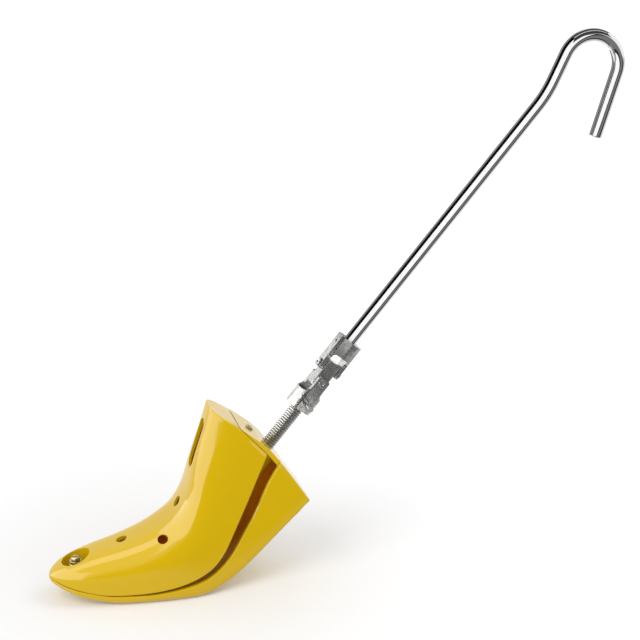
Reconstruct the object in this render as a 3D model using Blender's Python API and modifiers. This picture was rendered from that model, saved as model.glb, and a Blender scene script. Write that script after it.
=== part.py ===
"""Boot stretcher: a two-part hollow last, opened by a long spindle.

The spindle is turned by a hooked handle through a two-pin universal joint.
Toe points to -X, heel to +X, and the mirror plane is Y = 0. The origin lies on the
sole's flat rest under the ball of the foot.
"""

import math

import bmesh
import bpy
from mathutils import Vector

# The last as a whole
LAST_LENGTH = 0.180
LAST_HEIGHT = 0.132
LAST_WIDTH = 0.058
WALL = 0.003
RUNNING_GAP = 0.0003
CUT_OVERRUN = 0.020
WELD = 0.000001
ROUND_STEPS = 24
PIN_STEPS = 16
COLLAR_STEPS = 28
RING_POINTS = 36
STATION_STEPS = 2
EDGE_STEPS = 2

# Sections of the last, toe to ankle: sole point x and z, crest point x and z, half width.
# The x values are shares of the length, the z values of the height, the half widths of the width.
STATION_SHARES = (
    (-0.3455, 0.117, -0.3455, 0.135, 0.040),
    (-0.3390, 0.110, -0.3390, 0.149, 0.100),
    (-0.3250, 0.101, -0.3240, 0.168, 0.166),
    (-0.2970, 0.083, -0.2955, 0.193, 0.245),
    (-0.2470, 0.052, -0.2445, 0.222, 0.321),
    (-0.1720, 0.021, -0.1695, 0.253, 0.381),
    (-0.0780, 0.000, -0.0740, 0.285, 0.434),
    (0.0220, 0.000, 0.0170, 0.328, 0.476),
    (0.1060, 0.000, 0.0850, 0.379, 0.497),
    (0.1780, 0.000, 0.1385, 0.437, 0.500),
    (0.2390, 0.010, 0.1730, 0.512, 0.488),
    (0.2970, 0.037, 0.1925, 0.585, 0.461),
    (0.3560, 0.083, 0.2065, 0.658, 0.431),
    (0.4170, 0.146, 0.2220, 0.731, 0.403),
    (0.4830, 0.227, 0.2395, 0.805, 0.383),
    (0.5500, 0.312, 0.2570, 0.877, 0.369),
    (0.6060, 0.383, 0.2720, 0.943, 0.362),
    (0.6580, 0.452, 0.2915, 1.027, 0.359),
    (0.7110, 0.523, 0.3140, 1.121, 0.355),
)
FIRST_CAVITY_STATION = 5
# How square the sections are: power of the rounded outline at toe and ankle
CREST_POWERS = (2.5, 3.3)
SOLE_POWERS = (4.5, 15.0)
WIDEST_SHARES = (0.38, 0.42)
SOLE_FLAT_SHARE = 1.03

# Parting edges and top outline, as shares of the last's length and height
UPPER_EDGE_SHARES = (
    (-0.400, 0.140), (-0.330, 0.127), (-0.250, 0.094), (-0.145, 0.061), (-0.004, 0.058),
    (0.114, 0.0765), (0.204, 0.113), (0.268, 0.160), (0.314, 0.233), (0.356, 0.344),
    (0.380, 0.412), (0.419, 0.526), (0.458, 0.649), (0.489, 0.746),
)
LOWER_EDGE_SHARES = (
    (-0.400, 0.136), (-0.330, 0.123), (-0.250, 0.090), (-0.145, 0.057), (-0.087, 0.050),
    (0.033, 0.048), (0.143, 0.064), (0.233, 0.092), (0.299, 0.147), (0.346, 0.216),
    (0.394, 0.321), (0.441, 0.433), (0.486, 0.569), (0.540, 0.693),
)
PEAK_SHARES = (0.282, 1.004)
GUIDE_START_SHARES = (0.389, 0.898)
LOWER_BEND_SHARES = (0.572, 0.630)
HEEL_CORNER_SHARES = (0.657, 0.451)

# Plug holes and the slot in the front of the ankle
SIDE_HOLE_WIDTH = 0.007
CREST_HOLE_WIDTH = 0.0078
SIDE_HOLE_SHARES = (0.078, 0.334)
SIDE_HOLE_SPREAD_SHARE = 0.342
SIDE_HOLE_SLOPE = math.radians(40.0)
CREST_HOLES_SHARES = ((-0.064, 0.289, 22.0), (0.155, 0.469, 52.0))
SLOT_WIDTH = 0.010
SLOT_LENGTH = 0.036
SLOT_SHARES = (0.230, 0.795)
SLOT_LEAN = math.radians(19.0)
HOLE_DEPTH = 0.008

# Toe: hinge line, bore and the sprung screw
HINGE_SHARES = (-0.3455, 0.128)
TOE_BORE_SHARE = -0.242
TOE_BORE_WIDTH = 0.0195
TOE_FLOOR = 0.004
TOE_SCREW_WIDTH = 0.0045
TOE_FLOOR_HOLE_WIDTH = 0.0092
TOE_HEAD_WIDTH = 0.0064
TOE_HEAD_HEIGHT = 0.0024
TOE_SCREW_END_LIFT = 0.0004
TOE_SLOT_WIDTH = 0.0012
TOE_SLOT_DEPTH = 0.0010
TOE_WASHER_WIDTH = 0.0086
TOE_WASHER_THICKNESS = 0.0008
TOE_NUT_FLATS = 0.0080
TOE_NUT_HEIGHT = 0.0025
TOE_NUT_RECESS = 0.0006
SPRING_WIDTH = 0.0096
SPRING_WIRE = 0.0012
SPRING_LENGTH = 0.0090
SPRING_TURNS = 4
SPRING_POINTS = 10

# The spindle line: it leans back by this angle from upright and meets the top here
ROD_LEAN = math.radians(40.0)
ENTRY_SHARES = (0.5135, 0.730)

# Rounded screw head, as shares of its radius and height from the middle of its top
HEAD_TOP_SHARE = 0.58
HEAD_ROUND_SHARES = ((0.90, 0.67), (1.0, 0.33))

# Guide, nut and screw at the ankle top
GUIDE_STEP = 0.0008
GUIDE_END_INSET = 0.0032
GUIDE_CROWN_SHARES = ((0.469, 0.811), (0.506, 0.760), (0.541, 0.697))
GUIDE_BOSS_WIDTH = 0.019
GUIDE_BOSS_LENGTH = 0.022
GUIDE_BORE_WIDTH = 0.0108
GUIDE_SHELF = 0.007
BOSS_EDGE_POINTS = 7
GUIDE_SCREW_SHARES = (0.4435, 0.838)
GUIDE_SCREW_LEAN = math.radians(41.0)
GUIDE_SCREW_WIDTH = 0.0035
GUIDE_SCREW_LENGTH = 0.0085
GUIDE_SCREW_HEAD_WIDTH = 0.0068
GUIDE_SCREW_HEAD_HEIGHT = 0.0018
NUT_FLATS = 0.014
NUT_HEIGHT = 0.008
NUT_TOP = 0.0135

# Spindle
SPINDLE_WIDTH = 0.010
THREAD_PITCH = 0.0018
THREAD_DEPTH = 0.0009
THREAD_STEPS = 12
THREAD_LENGTH = 0.0738
THREAD_TOP = 0.0340
SHANK_WIDTH = 0.0076
TIP_WIDTH = 0.0060

# Thrust foot, plate and ramp in the lower half; the ramp's low edge stands this far over the wall
RAMP_RISE = 0.00437
FOOT_WIDTH = 0.012
FOOT_HEIGHT = 0.006
FOOT_DOME_RADIUS = 0.010
FOOT_DOME_POINTS = 4
FOOT_RIM_WIDTH = 0.0096
FOOT_RIM_DROP = 0.002
SOCKET_DEPTH = 0.0035
PLATE_THICKNESS = 0.002
PLATE_LENGTH = 0.023
PLATE_WIDTH = 0.025
PLATE_SHIFT = 0.0045
PLATE_SCREW_SPREAD = 0.0185
PLATE_SCREW_WIDTH = 0.0028
PLATE_SCREW_LENGTH = 0.0065
PLATE_SCREW_HEAD_WIDTH = 0.0050
PLATE_SCREW_HEAD_HEIGHT = 0.0015

# Universal joint, measured up the spindle line from the entry
COLLAR_WIDTH = 0.0195
COLLAR_FLATS = 0.0176
YOKE_SLOT = 0.0110
EAR_WIDTH = 0.0090
LOWER_YOKE_START = 0.0346
YOKE_LENGTH = 0.0276
YOKE_FLOOR = 0.0127
YOKE_TAPER = 0.0056
YOKE_PIVOT = 0.0243
YOKE_PIN = 0.0064
EAR_CHAMFER = 0.0016
PIVOT_SPACING = 0.0101
LINK_SIDE = 0.0104
LINK_LENGTH = 0.0212
LINK_CHAMFER = 0.0012
PIVOT_PIN_WIDTH = 0.0040
PIVOT_HEAD_WIDTH = 0.0062
PIVOT_HEAD_HEIGHT = 0.0008
PIVOT_HEAD_CHAMFER = 0.0005
CROSS_PIN_WIDTH = 0.0034
CROSS_PIN_PROUD = 0.0005

# Handle
ROD_WIDTH = 0.0090
ROD_STRAIGHT = 0.3069
BEND_RADIUS = 0.080
BEND_ANGLE = math.radians(15.0)
NECK_LENGTH = 0.0300
HOOK_RADIUS = 0.0205
HOOK_ANGLE = math.radians(171.8)
HOOK_LEG = 0.0460
HOOK_POINTS = 14
BEND_POINTS = 4


def place(share):
    """Point of the side view from shares of the last's length and height."""
    return Vector((share[0] * LAST_LENGTH, 0.0, share[1] * LAST_HEIGHT))


def material(name, colour, roughness, metallic):
    """Plain surface finish."""
    made = bpy.data.materials.new(name)
    made.use_nodes = True
    shader = made.node_tree.nodes["Principled BSDF"]
    shader.inputs["Base Color"].default_value = (*colour, 1.0)
    shader.inputs["Roughness"].default_value = roughness
    shader.inputs["Metallic"].default_value = metallic
    made.diffuse_color = (*colour, 1.0)
    return made


def add_object(name, mesh, collection, finish=None, parent=None):
    """Link a mesh as an object, in its parent's frame if it has one."""
    made = bpy.data.objects.new(name, mesh)
    collection.objects.link(made)
    made.parent = parent
    if finish:
        mesh.materials.append(finish)
    return made


def as_cutter(made):
    """Show a guide solid as wires only."""
    made.hide_render = True
    made.display_type = "WIRE"
    return made


def boolean(target, tool, operation="DIFFERENCE"):
    """Cut, join or intersect a piece with another solid."""
    step = target.modifiers.new(tool.name, "BOOLEAN")
    step.operation = operation
    step.object = tool
    step.solver = "EXACT"


def smooth(made, angle=math.radians(35.0)):
    """Shade a round piece smooth, with its hard edges kept."""
    made.data.shade_smooth()
    made.data.set_sharp_from_angle(angle=angle)


def bar_mesh(name, width, start, end, steps=ROUND_STEPS):
    """Round bar along Z from start to end."""
    made = bmesh.new()
    bmesh.ops.create_cone(
        made, cap_ends=True, segments=steps, radius1=width / 2, radius2=width / 2, depth=end - start,
    )
    bmesh.ops.translate(made, verts=made.verts, vec=(0.0, 0.0, (start + end) / 2))
    mesh = bpy.data.meshes.new(name)
    made.to_mesh(mesh)
    made.free()
    return mesh


def hex_mesh(name, flats, start, end):
    """Hexagonal bar along Z with a flat facing +X."""
    mesh = bar_mesh(name, flats / math.cos(math.pi / 6), start, end, steps=6)
    for vertex in mesh.vertices:
        x, y = vertex.co.x, vertex.co.y
        turn = math.pi / 6
        vertex.co.x = x * math.cos(turn) - y * math.sin(turn)
        vertex.co.y = x * math.sin(turn) + y * math.cos(turn)
    return mesh


def box_mesh(name, low, high):
    """Box between two corners."""
    made = bmesh.new()
    bmesh.ops.create_cube(made, size=1.0)
    size = Vector(high) - Vector(low)
    bmesh.ops.scale(made, verts=made.verts, vec=size)
    bmesh.ops.translate(made, verts=made.verts, vec=(Vector(high) + Vector(low)) / 2)
    mesh = bpy.data.meshes.new(name)
    made.to_mesh(mesh)
    made.free()
    return mesh


def turned(name, profile, collection, finish=None, parent=None, steps=ROUND_STEPS):
    """Turned piece from a profile of radius and height, top to bottom on the outside."""
    mesh = bpy.data.meshes.new(name)
    points = [(radius, 0.0, height) for radius, height in profile]
    mesh.from_pydata(points, [(i, i + 1) for i in range(len(points) - 1)], [])
    made = add_object(name, mesh, collection, finish, parent)
    spin = made.modifiers.new("turning", "SCREW")
    spin.steps = steps
    spin.render_steps = steps
    spin.use_merge_vertices = True
    spin.merge_threshold = WELD
    return made


def prism(name, outline, half_width, collection, parent=None):
    """Solid with a side-view outline, ruled across the last."""
    curve = bpy.data.curves.new(name, "CURVE")
    curve.dimensions = "2D"
    curve.fill_mode = "BOTH"
    curve.extrude = half_width
    spline = curve.splines.new("POLY")
    spline.points.add(len(outline) - 1)
    for point, corner in zip(spline.points, outline):
        point.co = (corner.x, corner.z, 0.0, 1.0)
    spline.use_cyclic_u = True
    flat = bpy.data.objects.new(name + "_outline", curve)
    collection.objects.link(flat)
    flat.rotation_euler = (math.radians(90.0), 0.0, 0.0)
    bpy.context.view_layer.update()
    shown = flat.evaluated_get(bpy.context.evaluated_depsgraph_get())
    solid = bpy.data.meshes.new_from_object(shown)
    solid.transform(flat.matrix_world)
    bpy.data.objects.remove(flat)
    welded = bmesh.new()
    welded.from_mesh(solid)
    bmesh.ops.remove_doubles(welded, verts=welded.verts, dist=WELD)
    bmesh.ops.recalc_face_normals(welded, faces=welded.faces)
    welded.to_mesh(solid)
    welded.free()
    return add_object(name, solid, collection, parent=parent)


def smooth_path(points, steps):
    """Curve through rows of numbers, with steps stretches between two rows."""
    rows = []
    for i in range(len(points) - 1):
        before = points[max(i - 1, 0)]
        after = points[min(i + 2, len(points) - 1)]
        for step in range(steps):
            t = step / steps
            weights = (
                (-t + 2 * t**2 - t**3) / 2, (2 - 5 * t**2 + 3 * t**3) / 2,
                (t + 4 * t**2 - 3 * t**3) / 2, (t**3 - t**2) / 2,
            )
            quad = (before, points[i], points[i + 1], after)
            rows.append(tuple(
                sum(w * row[k] for w, row in zip(weights, quad)) for k in range(len(points[i]))
            ))
    rows.append(tuple(points[-1]))
    return rows


def mix(ends, share):
    """Value between two ends."""
    return ends[0] + (ends[1] - ends[0]) * share


def section_ring(row, along, inset):
    """Closed outline of the last on one section, drawn in by an inset."""
    sole = Vector((row[0] * LAST_LENGTH, 0.0, max(row[1], 0.0) * LAST_HEIGHT))
    crest = Vector((row[2] * LAST_LENGTH, 0.0, row[3] * LAST_HEIGHT))
    up = (crest - sole).normalized()
    height = (crest - sole).length - 2 * inset
    half_width = row[4] * LAST_WIDTH - inset
    widest = mix(WIDEST_SHARES, along)
    points = []
    for k in range(RING_POINTS):
        turn = 2 * math.pi * k / RING_POINTS
        side, rise = math.cos(turn), math.sin(turn)
        power = mix(CREST_POWERS if rise >= 0 else SOLE_POWERS, along)
        across = math.copysign(abs(side) ** (2 / power), side) * half_width
        lift = abs(rise) ** (2 / power)
        if rise >= 0:
            level = widest + (1 - widest) * lift
        else:
            level = widest - widest * min(1.0, SOLE_FLAT_SHARE * lift)
        points.append(sole + up * (inset + height * level) + Vector((0.0, across, 0.0)))
    return points


def last_loft(name, inset, first, collection, parent=None):
    """Solid last, or its inside, lofted through the sections from a first one."""
    rows = smooth_path(STATION_SHARES, STATION_STEPS)
    made = bmesh.new()
    rings = []
    for i, row in enumerate(rows):
        if i < first * STATION_STEPS:
            continue
        ring = section_ring(row, i / (len(rows) - 1), inset)
        rings.append([made.verts.new(point) for point in ring])
    for ring, following in zip(rings, rings[1:]):
        for k in range(RING_POINTS):
            after = (k + 1) % RING_POINTS
            made.faces.new((ring[k], following[k], following[after], ring[after]))
    made.faces.new(rings[0])
    made.faces.new(rings[-1][::-1])
    bmesh.ops.recalc_face_normals(made, faces=made.faces)
    mesh = bpy.data.meshes.new(name)
    made.to_mesh(mesh)
    made.free()
    return add_object(name, mesh, collection, parent=parent)


def edge_curve(shares):
    """Parting edge as points of the side view."""
    return [place(share) for share in smooth_path(shares, EDGE_STEPS)]


def drawn_in(points, depth):
    """Open outline moved down and forward by a depth, square to its own run."""
    moved = []
    for i, point in enumerate(points):
        run = points[min(i + 1, len(points) - 1)] - points[max(i - 1, 0)]
        inward = Vector((run.z, 0.0, -run.x)).normalized()
        if inward.z > 0:
            inward.negate()
        moved.append(point + inward * depth)
    return moved


def cut_cylinder(name, width, depth, location, rotation):
    """Drill: a bar that runs from a depth inside to an overrun outside."""
    drill = add_object(name, bar_mesh(name, width, -depth, CUT_OVERRUN), tools)
    drill.location = location
    drill.rotation_euler = rotation
    return as_cutter(drill)


for leftover in list(bpy.data.objects):
    bpy.data.objects.remove(leftover)

scene_root = bpy.context.scene.collection
parts = bpy.data.collections.new("boot_stretcher")
tools = bpy.data.collections.new("cutters")
scene_root.children.link(parts)
scene_root.children.link(tools)

yellow = material("yellow_plastic", (0.70, 0.45, 0.01), 0.22, 0.0)
steel = material("plated_steel", (0.62, 0.62, 0.62), 0.28, 1.0)
chrome = material("chromed_steel", (0.80, 0.80, 0.80), 0.08, 1.0)
dark_steel = material("dark_steel", (0.20, 0.20, 0.21), 0.40, 1.0)


def joint_empty(name, location, lean=0.0, parent=None):
    """Frame of a joint, its Z along the spindle line where it leans."""
    made = bpy.data.objects.new(name, None)
    parts.objects.link(made)
    made.parent = parent
    made.location = location
    made.rotation_euler = (0.0, lean, 0.0)
    return made


hinge = place(HINGE_SHARES)
entry = place(ENTRY_SHARES)
rod_up = Vector((math.sin(ROD_LEAN), 0.0, math.cos(ROD_LEAN)))
toe_frame = joint_empty("toe_hinge_frame", hinge)
spindle_frame = joint_empty("spindle_frame", entry - hinge, ROD_LEAN, toe_frame)
lower_pivot_height = LOWER_YOKE_START + YOKE_PIVOT
upper_pivot_height = lower_pivot_height + PIVOT_SPACING
lower_pivot_frame = joint_empty(
    "lower_pivot_frame", (0.0, 0.0, lower_pivot_height), parent=spindle_frame)
upper_pivot_frame = joint_empty(
    "upper_pivot_frame", (0.0, 0.0, PIVOT_SPACING), parent=lower_pivot_frame)
bpy.context.view_layer.update()

# Outlines of the two halves and of the hollow between them
reach = LAST_LENGTH
upper_edge = edge_curve(UPPER_EDGE_SHARES)
lower_edge = edge_curve(LOWER_EDGE_SHARES)
peak = place(PEAK_SHARES)
guide_start = place(GUIDE_START_SHARES)
lower_bend = place(LOWER_BEND_SHARES)
heel_corner = place(HEEL_CORNER_SHARES)
front_slope = (peak - guide_start).normalized()
heel_slope = (heel_corner - lower_bend).normalized()
far_front = peak + front_slope * reach
far_heel = heel_corner + heel_slope * reach
upper_keep = upper_edge + [guide_start, far_front, far_front - Vector((reach, 0.0, reach))]
lower_keep = lower_edge + [lower_bend, far_heel, Vector((far_heel.x, 0.0, -reach)),
                           Vector((-reach, 0.0, -reach))]
front_roof = drawn_in([far_front, guide_start], WALL)
shelf_roof = drawn_in([guide_start, upper_edge[-1]], GUIDE_SHELF)
heel_roof = drawn_in([lower_edge[-1], lower_bend, far_heel], WALL)
hollow = [front_roof[0], front_roof[1], shelf_roof[0], shelf_roof[1], *heel_roof,
          Vector((far_heel.x, 0.0, -reach)), Vector((-reach, 0.0, -reach)),
          Vector((-reach, 0.0, front_roof[0].z))]

inside = last_loft("last_inside", WALL, FIRST_CAVITY_STATION, tools)
inside_limits = as_cutter(prism("hollow_limits", hollow, LAST_WIDTH, tools))
boolean(inside, inside_limits, "INTERSECT")
as_cutter(inside)

# Lower half: sole and heel, with the ramp that carries the thrust plate
lower_last = last_loft("lower_last", 0.0, 0, parts)
lower_last.data.materials.append(yellow)
boolean(lower_last, as_cutter(prism("lower_keep", lower_keep, LAST_WIDTH, tools)), "INTERSECT")
boolean(lower_last, inside)

across_rod = Vector((math.cos(ROD_LEAN), 0.0, -math.sin(ROD_LEAN)))
ramp_corner = across_rod * (PLATE_LENGTH / 2 - PLATE_SHIFT) - rod_up * (PLATE_THICKNESS + RUNNING_GAP)
thrust_reach = (entry.z + ramp_corner.z - WALL - RAMP_RISE) / rod_up.z
thrust_point = entry - rod_up * thrust_reach
plate_middle = thrust_point - across_rod * PLATE_SHIFT
ramp_face = plate_middle - rod_up * (PLATE_THICKNESS + RUNNING_GAP)
ramp_high = ramp_face - across_rod * PLATE_LENGTH / 2
ramp_low = ramp_face + across_rod * PLATE_LENGTH / 2
ramp_base = WALL / 2
ramp = as_cutter(prism("ramp", [
    Vector((ramp_high.x, 0.0, ramp_base)), Vector((ramp_low.x, 0.0, ramp_base)), ramp_low, ramp_high,
], PLATE_WIDTH / 2, tools))
boolean(lower_last, ramp, "UNION")

# Upper half: toe, instep and ankle
upper_last = last_loft("upper_last", 0.0, 0, parts)
upper_last.data.materials.append(yellow)
boolean(upper_last, as_cutter(prism("upper_keep", upper_keep, LAST_WIDTH, tools)), "INTERSECT")
boolean(upper_last, inside)
boss_room = cut_cylinder(
    "boss_room", GUIDE_BOSS_WIDTH + 2 * RUNNING_GAP, GUIDE_BOSS_LENGTH + CUT_OVERRUN,
    entry, (0.0, ROD_LEAN, 0.0),
)
boolean(upper_last, boss_room)
for side, name in ((-1, "near"), (1, "far")):
    spot = place(SIDE_HOLE_SHARES) + Vector((0.0, side * SIDE_HOLE_SPREAD_SHARE * LAST_WIDTH, 0.0))
    lean = -side * (math.pi / 2 - SIDE_HOLE_SLOPE)
    drill = cut_cylinder("plug_hole_" + name, SIDE_HOLE_WIDTH, HOLE_DEPTH, spot, (lean, 0.0, 0.0))
    boolean(upper_last, drill)
for number, (length_share, height_share, slope) in enumerate(CREST_HOLES_SHARES):
    drill = cut_cylinder(
        f"crest_hole_{number}", CREST_HOLE_WIDTH, HOLE_DEPTH, place((length_share, height_share)),
        (0.0, -math.radians(slope), 0.0),
    )
    boolean(upper_last, drill)
slot = add_object("ankle_slot", box_mesh(
    "ankle_slot", (-CUT_OVERRUN, -SLOT_WIDTH / 2, (SLOT_WIDTH - SLOT_LENGTH) / 2),
    (HOLE_DEPTH, SLOT_WIDTH / 2, (SLOT_LENGTH - SLOT_WIDTH) / 2),
), tools)
slot.location = place(SLOT_SHARES)
slot.rotation_euler = (0.0, SLOT_LEAN, 0.0)
boolean(upper_last, as_cutter(slot))
slot_run = Vector((math.sin(SLOT_LEAN), 0.0, math.cos(SLOT_LEAN)))
for end in (-1, 1):
    spot = place(SLOT_SHARES) + slot_run * end * (SLOT_LENGTH - SLOT_WIDTH) / 2
    drill = cut_cylinder(
        f"slot_end_{end + 1}", SLOT_WIDTH, HOLE_DEPTH, spot, (0.0, SLOT_LEAN - math.pi / 2, 0.0),
    )
    boolean(upper_last, drill)

# Toe bore, sprung screw, washer, spring and nut
toe_x = TOE_BORE_SHARE * LAST_LENGTH
parting_z = 0.0
for before, after in zip(upper_edge, upper_edge[1:]):
    if before.x <= toe_x < after.x:
        parting_z = before.z + (after.z - before.z) * (toe_x - before.x) / (after.x - before.x)
floor_top = parting_z + TOE_FLOOR
upright = (0.0, 0.0, 0.0)
boolean(upper_last, cut_cylinder(
    "toe_bore", TOE_BORE_WIDTH, 0.0, (toe_x, 0.0, floor_top), upright,
))
boolean(upper_last, cut_cylinder(
    "toe_floor_hole", TOE_FLOOR_HOLE_WIDTH, CUT_OVERRUN, (toe_x, 0.0, floor_top), upright,
))
sole_z = 0.0
for before, after in zip(STATION_SHARES, STATION_SHARES[1:]):
    if before[0] <= TOE_BORE_SHARE < after[0]:
        along_row = (TOE_BORE_SHARE - before[0]) / (after[0] - before[0])
        sole_z = mix((before[1], after[1]), along_row) * LAST_HEIGHT
nut_bottom = sole_z + TOE_NUT_RECESS
nut_top = nut_bottom + TOE_NUT_HEIGHT
boolean(lower_last, cut_cylinder(
    "toe_screw_hole", TOE_SCREW_WIDTH + 2 * RUNNING_GAP, CUT_OVERRUN, (toe_x, 0.0, nut_top), upright,
))
nut_room = add_object("toe_nut_room", hex_mesh(
    "toe_nut_room", TOE_NUT_FLATS + 2 * RUNNING_GAP, nut_bottom - CUT_OVERRUN, nut_top + RUNNING_GAP,
), tools)
nut_room.location = (toe_x, 0.0, 0.0)
boolean(lower_last, as_cutter(nut_room))

toe_nut = add_object("toe_nut", hex_mesh("toe_nut", TOE_NUT_FLATS, nut_bottom, nut_top), parts, steel)
toe_nut.location = (toe_x, 0.0, 0.0)
boolean(toe_nut, cut_cylinder(
    "toe_nut_bore", TOE_SCREW_WIDTH + 2 * RUNNING_GAP, CUT_OVERRUN, (toe_x, 0.0, nut_top), upright,
))

spring_base = floor_top + RUNNING_GAP
spring_top = spring_base + SPRING_LENGTH
washer_bottom = spring_top + RUNNING_GAP
washer_top = washer_bottom + TOE_WASHER_THICKNESS
head_bottom = washer_top + RUNNING_GAP
head_top = head_bottom + TOE_HEAD_HEIGHT
screw_end = nut_bottom + TOE_SCREW_END_LIFT


def screw_profile(head_width, head_height, head_base, shank_width, end):
    """Half section of a round-headed screw, from the middle of its head to its end."""
    head_radius = head_width / 2
    shank_radius = shank_width / 2
    rounding = [
        (head_radius * out, head_base + head_height * up) for out, up in HEAD_ROUND_SHARES
    ]
    return (
        (0.0, head_base + head_height), (head_radius * HEAD_TOP_SHARE, head_base + head_height),
        *rounding, (head_radius, head_base), (shank_radius, head_base), (shank_radius, end), (0.0, end),
    )


toe_screw = turned("toe_screw", screw_profile(
    TOE_HEAD_WIDTH, TOE_HEAD_HEIGHT, head_bottom, TOE_SCREW_WIDTH, screw_end,
), parts, steel)
toe_screw.location = (toe_x, 0.0, 0.0)
driver_slot = add_object("toe_driver_slot", box_mesh(
    "toe_driver_slot", (-TOE_HEAD_WIDTH, -TOE_SLOT_WIDTH / 2, head_top - TOE_SLOT_DEPTH),
    (TOE_HEAD_WIDTH, TOE_SLOT_WIDTH / 2, head_top + CUT_OVERRUN),
), tools)
driver_slot.location = (toe_x, 0.0, 0.0)
boolean(toe_screw, as_cutter(driver_slot))
toe_washer = add_object("toe_washer", bar_mesh(
    "toe_washer", TOE_WASHER_WIDTH, washer_bottom, washer_top,
), parts, steel)
toe_washer.location = (toe_x, 0.0, 0.0)
boolean(toe_washer, cut_cylinder(
    "toe_washer_bore", TOE_SCREW_WIDTH + 2 * RUNNING_GAP, CUT_OVERRUN, (toe_x, 0.0, washer_bottom), upright,
))


def coil_curve(name, width, wire, base, length, turns):
    """Compression spring as one wire, evenly wound."""
    curve = bpy.data.curves.new(name, "CURVE")
    curve.dimensions = "3D"
    curve.bevel_depth = wire / 2
    curve.bevel_resolution = 1
    curve.use_fill_caps = True
    count = SPRING_POINTS * turns + 1
    spline = curve.splines.new("POLY")
    spline.points.add(count - 1)
    radius = (width - wire) / 2
    climb = length - wire
    for i, point in enumerate(spline.points):
        turn = 2 * math.pi * i / SPRING_POINTS
        height = base + wire / 2 + climb * i / (count - 1)
        point.co = (radius * math.cos(turn), radius * math.sin(turn), height, 1.0)
    own_gap = climb / turns - wire
    print(f"{name}: least gap between turns {own_gap * 1000:.2f} mm")
    return curve


toe_spring = bpy.data.objects.new("toe_spring", coil_curve(
    "toe_spring", SPRING_WIDTH, SPRING_WIRE, spring_base, SPRING_LENGTH, SPRING_TURNS,
))
parts.objects.link(toe_spring)
toe_spring.data.materials.append(steel)
toe_spring.location = (toe_x, 0.0, 0.0)

# Guide across the ankle top, with its nut and screw
guide = last_loft("top_guide", GUIDE_STEP, FIRST_CAVITY_STATION, parts)
guide.data.materials.append(yellow)
crown = [place(share) for share in GUIDE_CROWN_SHARES]
last_run = (lower_edge[-1] - lower_edge[-3]).normalized()
clear_of_heel = Vector((-last_run.z, 0.0, last_run.x)) * RUNNING_GAP
end_high = crown[-1] + clear_of_heel
seat = drawn_in([guide_start, upper_edge[-1]], -RUNNING_GAP)
guide_outline = [
    seat[0], crown[0], crown[1], end_high,
    lower_edge[-1] + clear_of_heel - last_run * GUIDE_END_INSET, seat[1],
]
boolean(guide, as_cutter(prism("guide_outline", guide_outline, LAST_WIDTH, tools)), "INTERSECT")
boss = add_object("guide_boss", bar_mesh(
    "guide_boss", GUIDE_BOSS_WIDTH, -GUIDE_BOSS_LENGTH, 0.0,
), tools)
boss.location = entry
boss.rotation_euler = (0.0, ROD_LEAN, 0.0)
boss_front = lower_edge[-BOSS_EDGE_POINTS:]
boss_keep = as_cutter(prism("boss_keep", [
    *[point + clear_of_heel for point in boss_front], end_high, crown[1], crown[0], seat[0],
    Vector((seat[0].x - reach, 0.0, boss_front[0].z)),
], LAST_WIDTH, tools))
boolean(boss, boss_keep, "INTERSECT")
boolean(guide, as_cutter(boss), "UNION")
boolean(guide, cut_cylinder(
    "guide_bore", GUIDE_BORE_WIDTH, GUIDE_BOSS_LENGTH + CUT_OVERRUN, entry, (0.0, ROD_LEAN, 0.0),
))
nut_pocket = add_object("nut_pocket", hex_mesh(
    "nut_pocket", NUT_FLATS + 2 * RUNNING_GAP, -GUIDE_BOSS_LENGTH - CUT_OVERRUN, RUNNING_GAP - NUT_TOP,
), tools)
nut_pocket.location = entry
nut_pocket.rotation_euler = (0.0, ROD_LEAN, 0.0)
boolean(guide, as_cutter(nut_pocket))

spindle_nut = add_object("spindle_nut", hex_mesh(
    "spindle_nut", NUT_FLATS, -NUT_TOP - NUT_HEIGHT, -NUT_TOP,
), parts, steel, spindle_frame)
boolean(spindle_nut, cut_cylinder(
    "spindle_nut_bore", SPINDLE_WIDTH + 2 * RUNNING_GAP, GUIDE_BOSS_LENGTH + CUT_OVERRUN, entry,
    (0.0, ROD_LEAN, 0.0),
))

screw_turn = (0.0, GUIDE_SCREW_LEAN, 0.0)
screw_seat = place(GUIDE_SCREW_SHARES)
for target in (guide, upper_last):
    boolean(target, cut_cylinder(
        "guide_screw_hole_" + target.name, GUIDE_SCREW_WIDTH + 2 * RUNNING_GAP,
        GUIDE_SCREW_LENGTH + RUNNING_GAP, screw_seat, screw_turn,
    ))


guide_screw = turned("guide_screw", screw_profile(
    GUIDE_SCREW_HEAD_WIDTH, GUIDE_SCREW_HEAD_HEIGHT, RUNNING_GAP, GUIDE_SCREW_WIDTH, -GUIDE_SCREW_LENGTH,
), parts, steel)
guide_screw.location = screw_seat
guide_screw.rotation_euler = screw_turn


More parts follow.
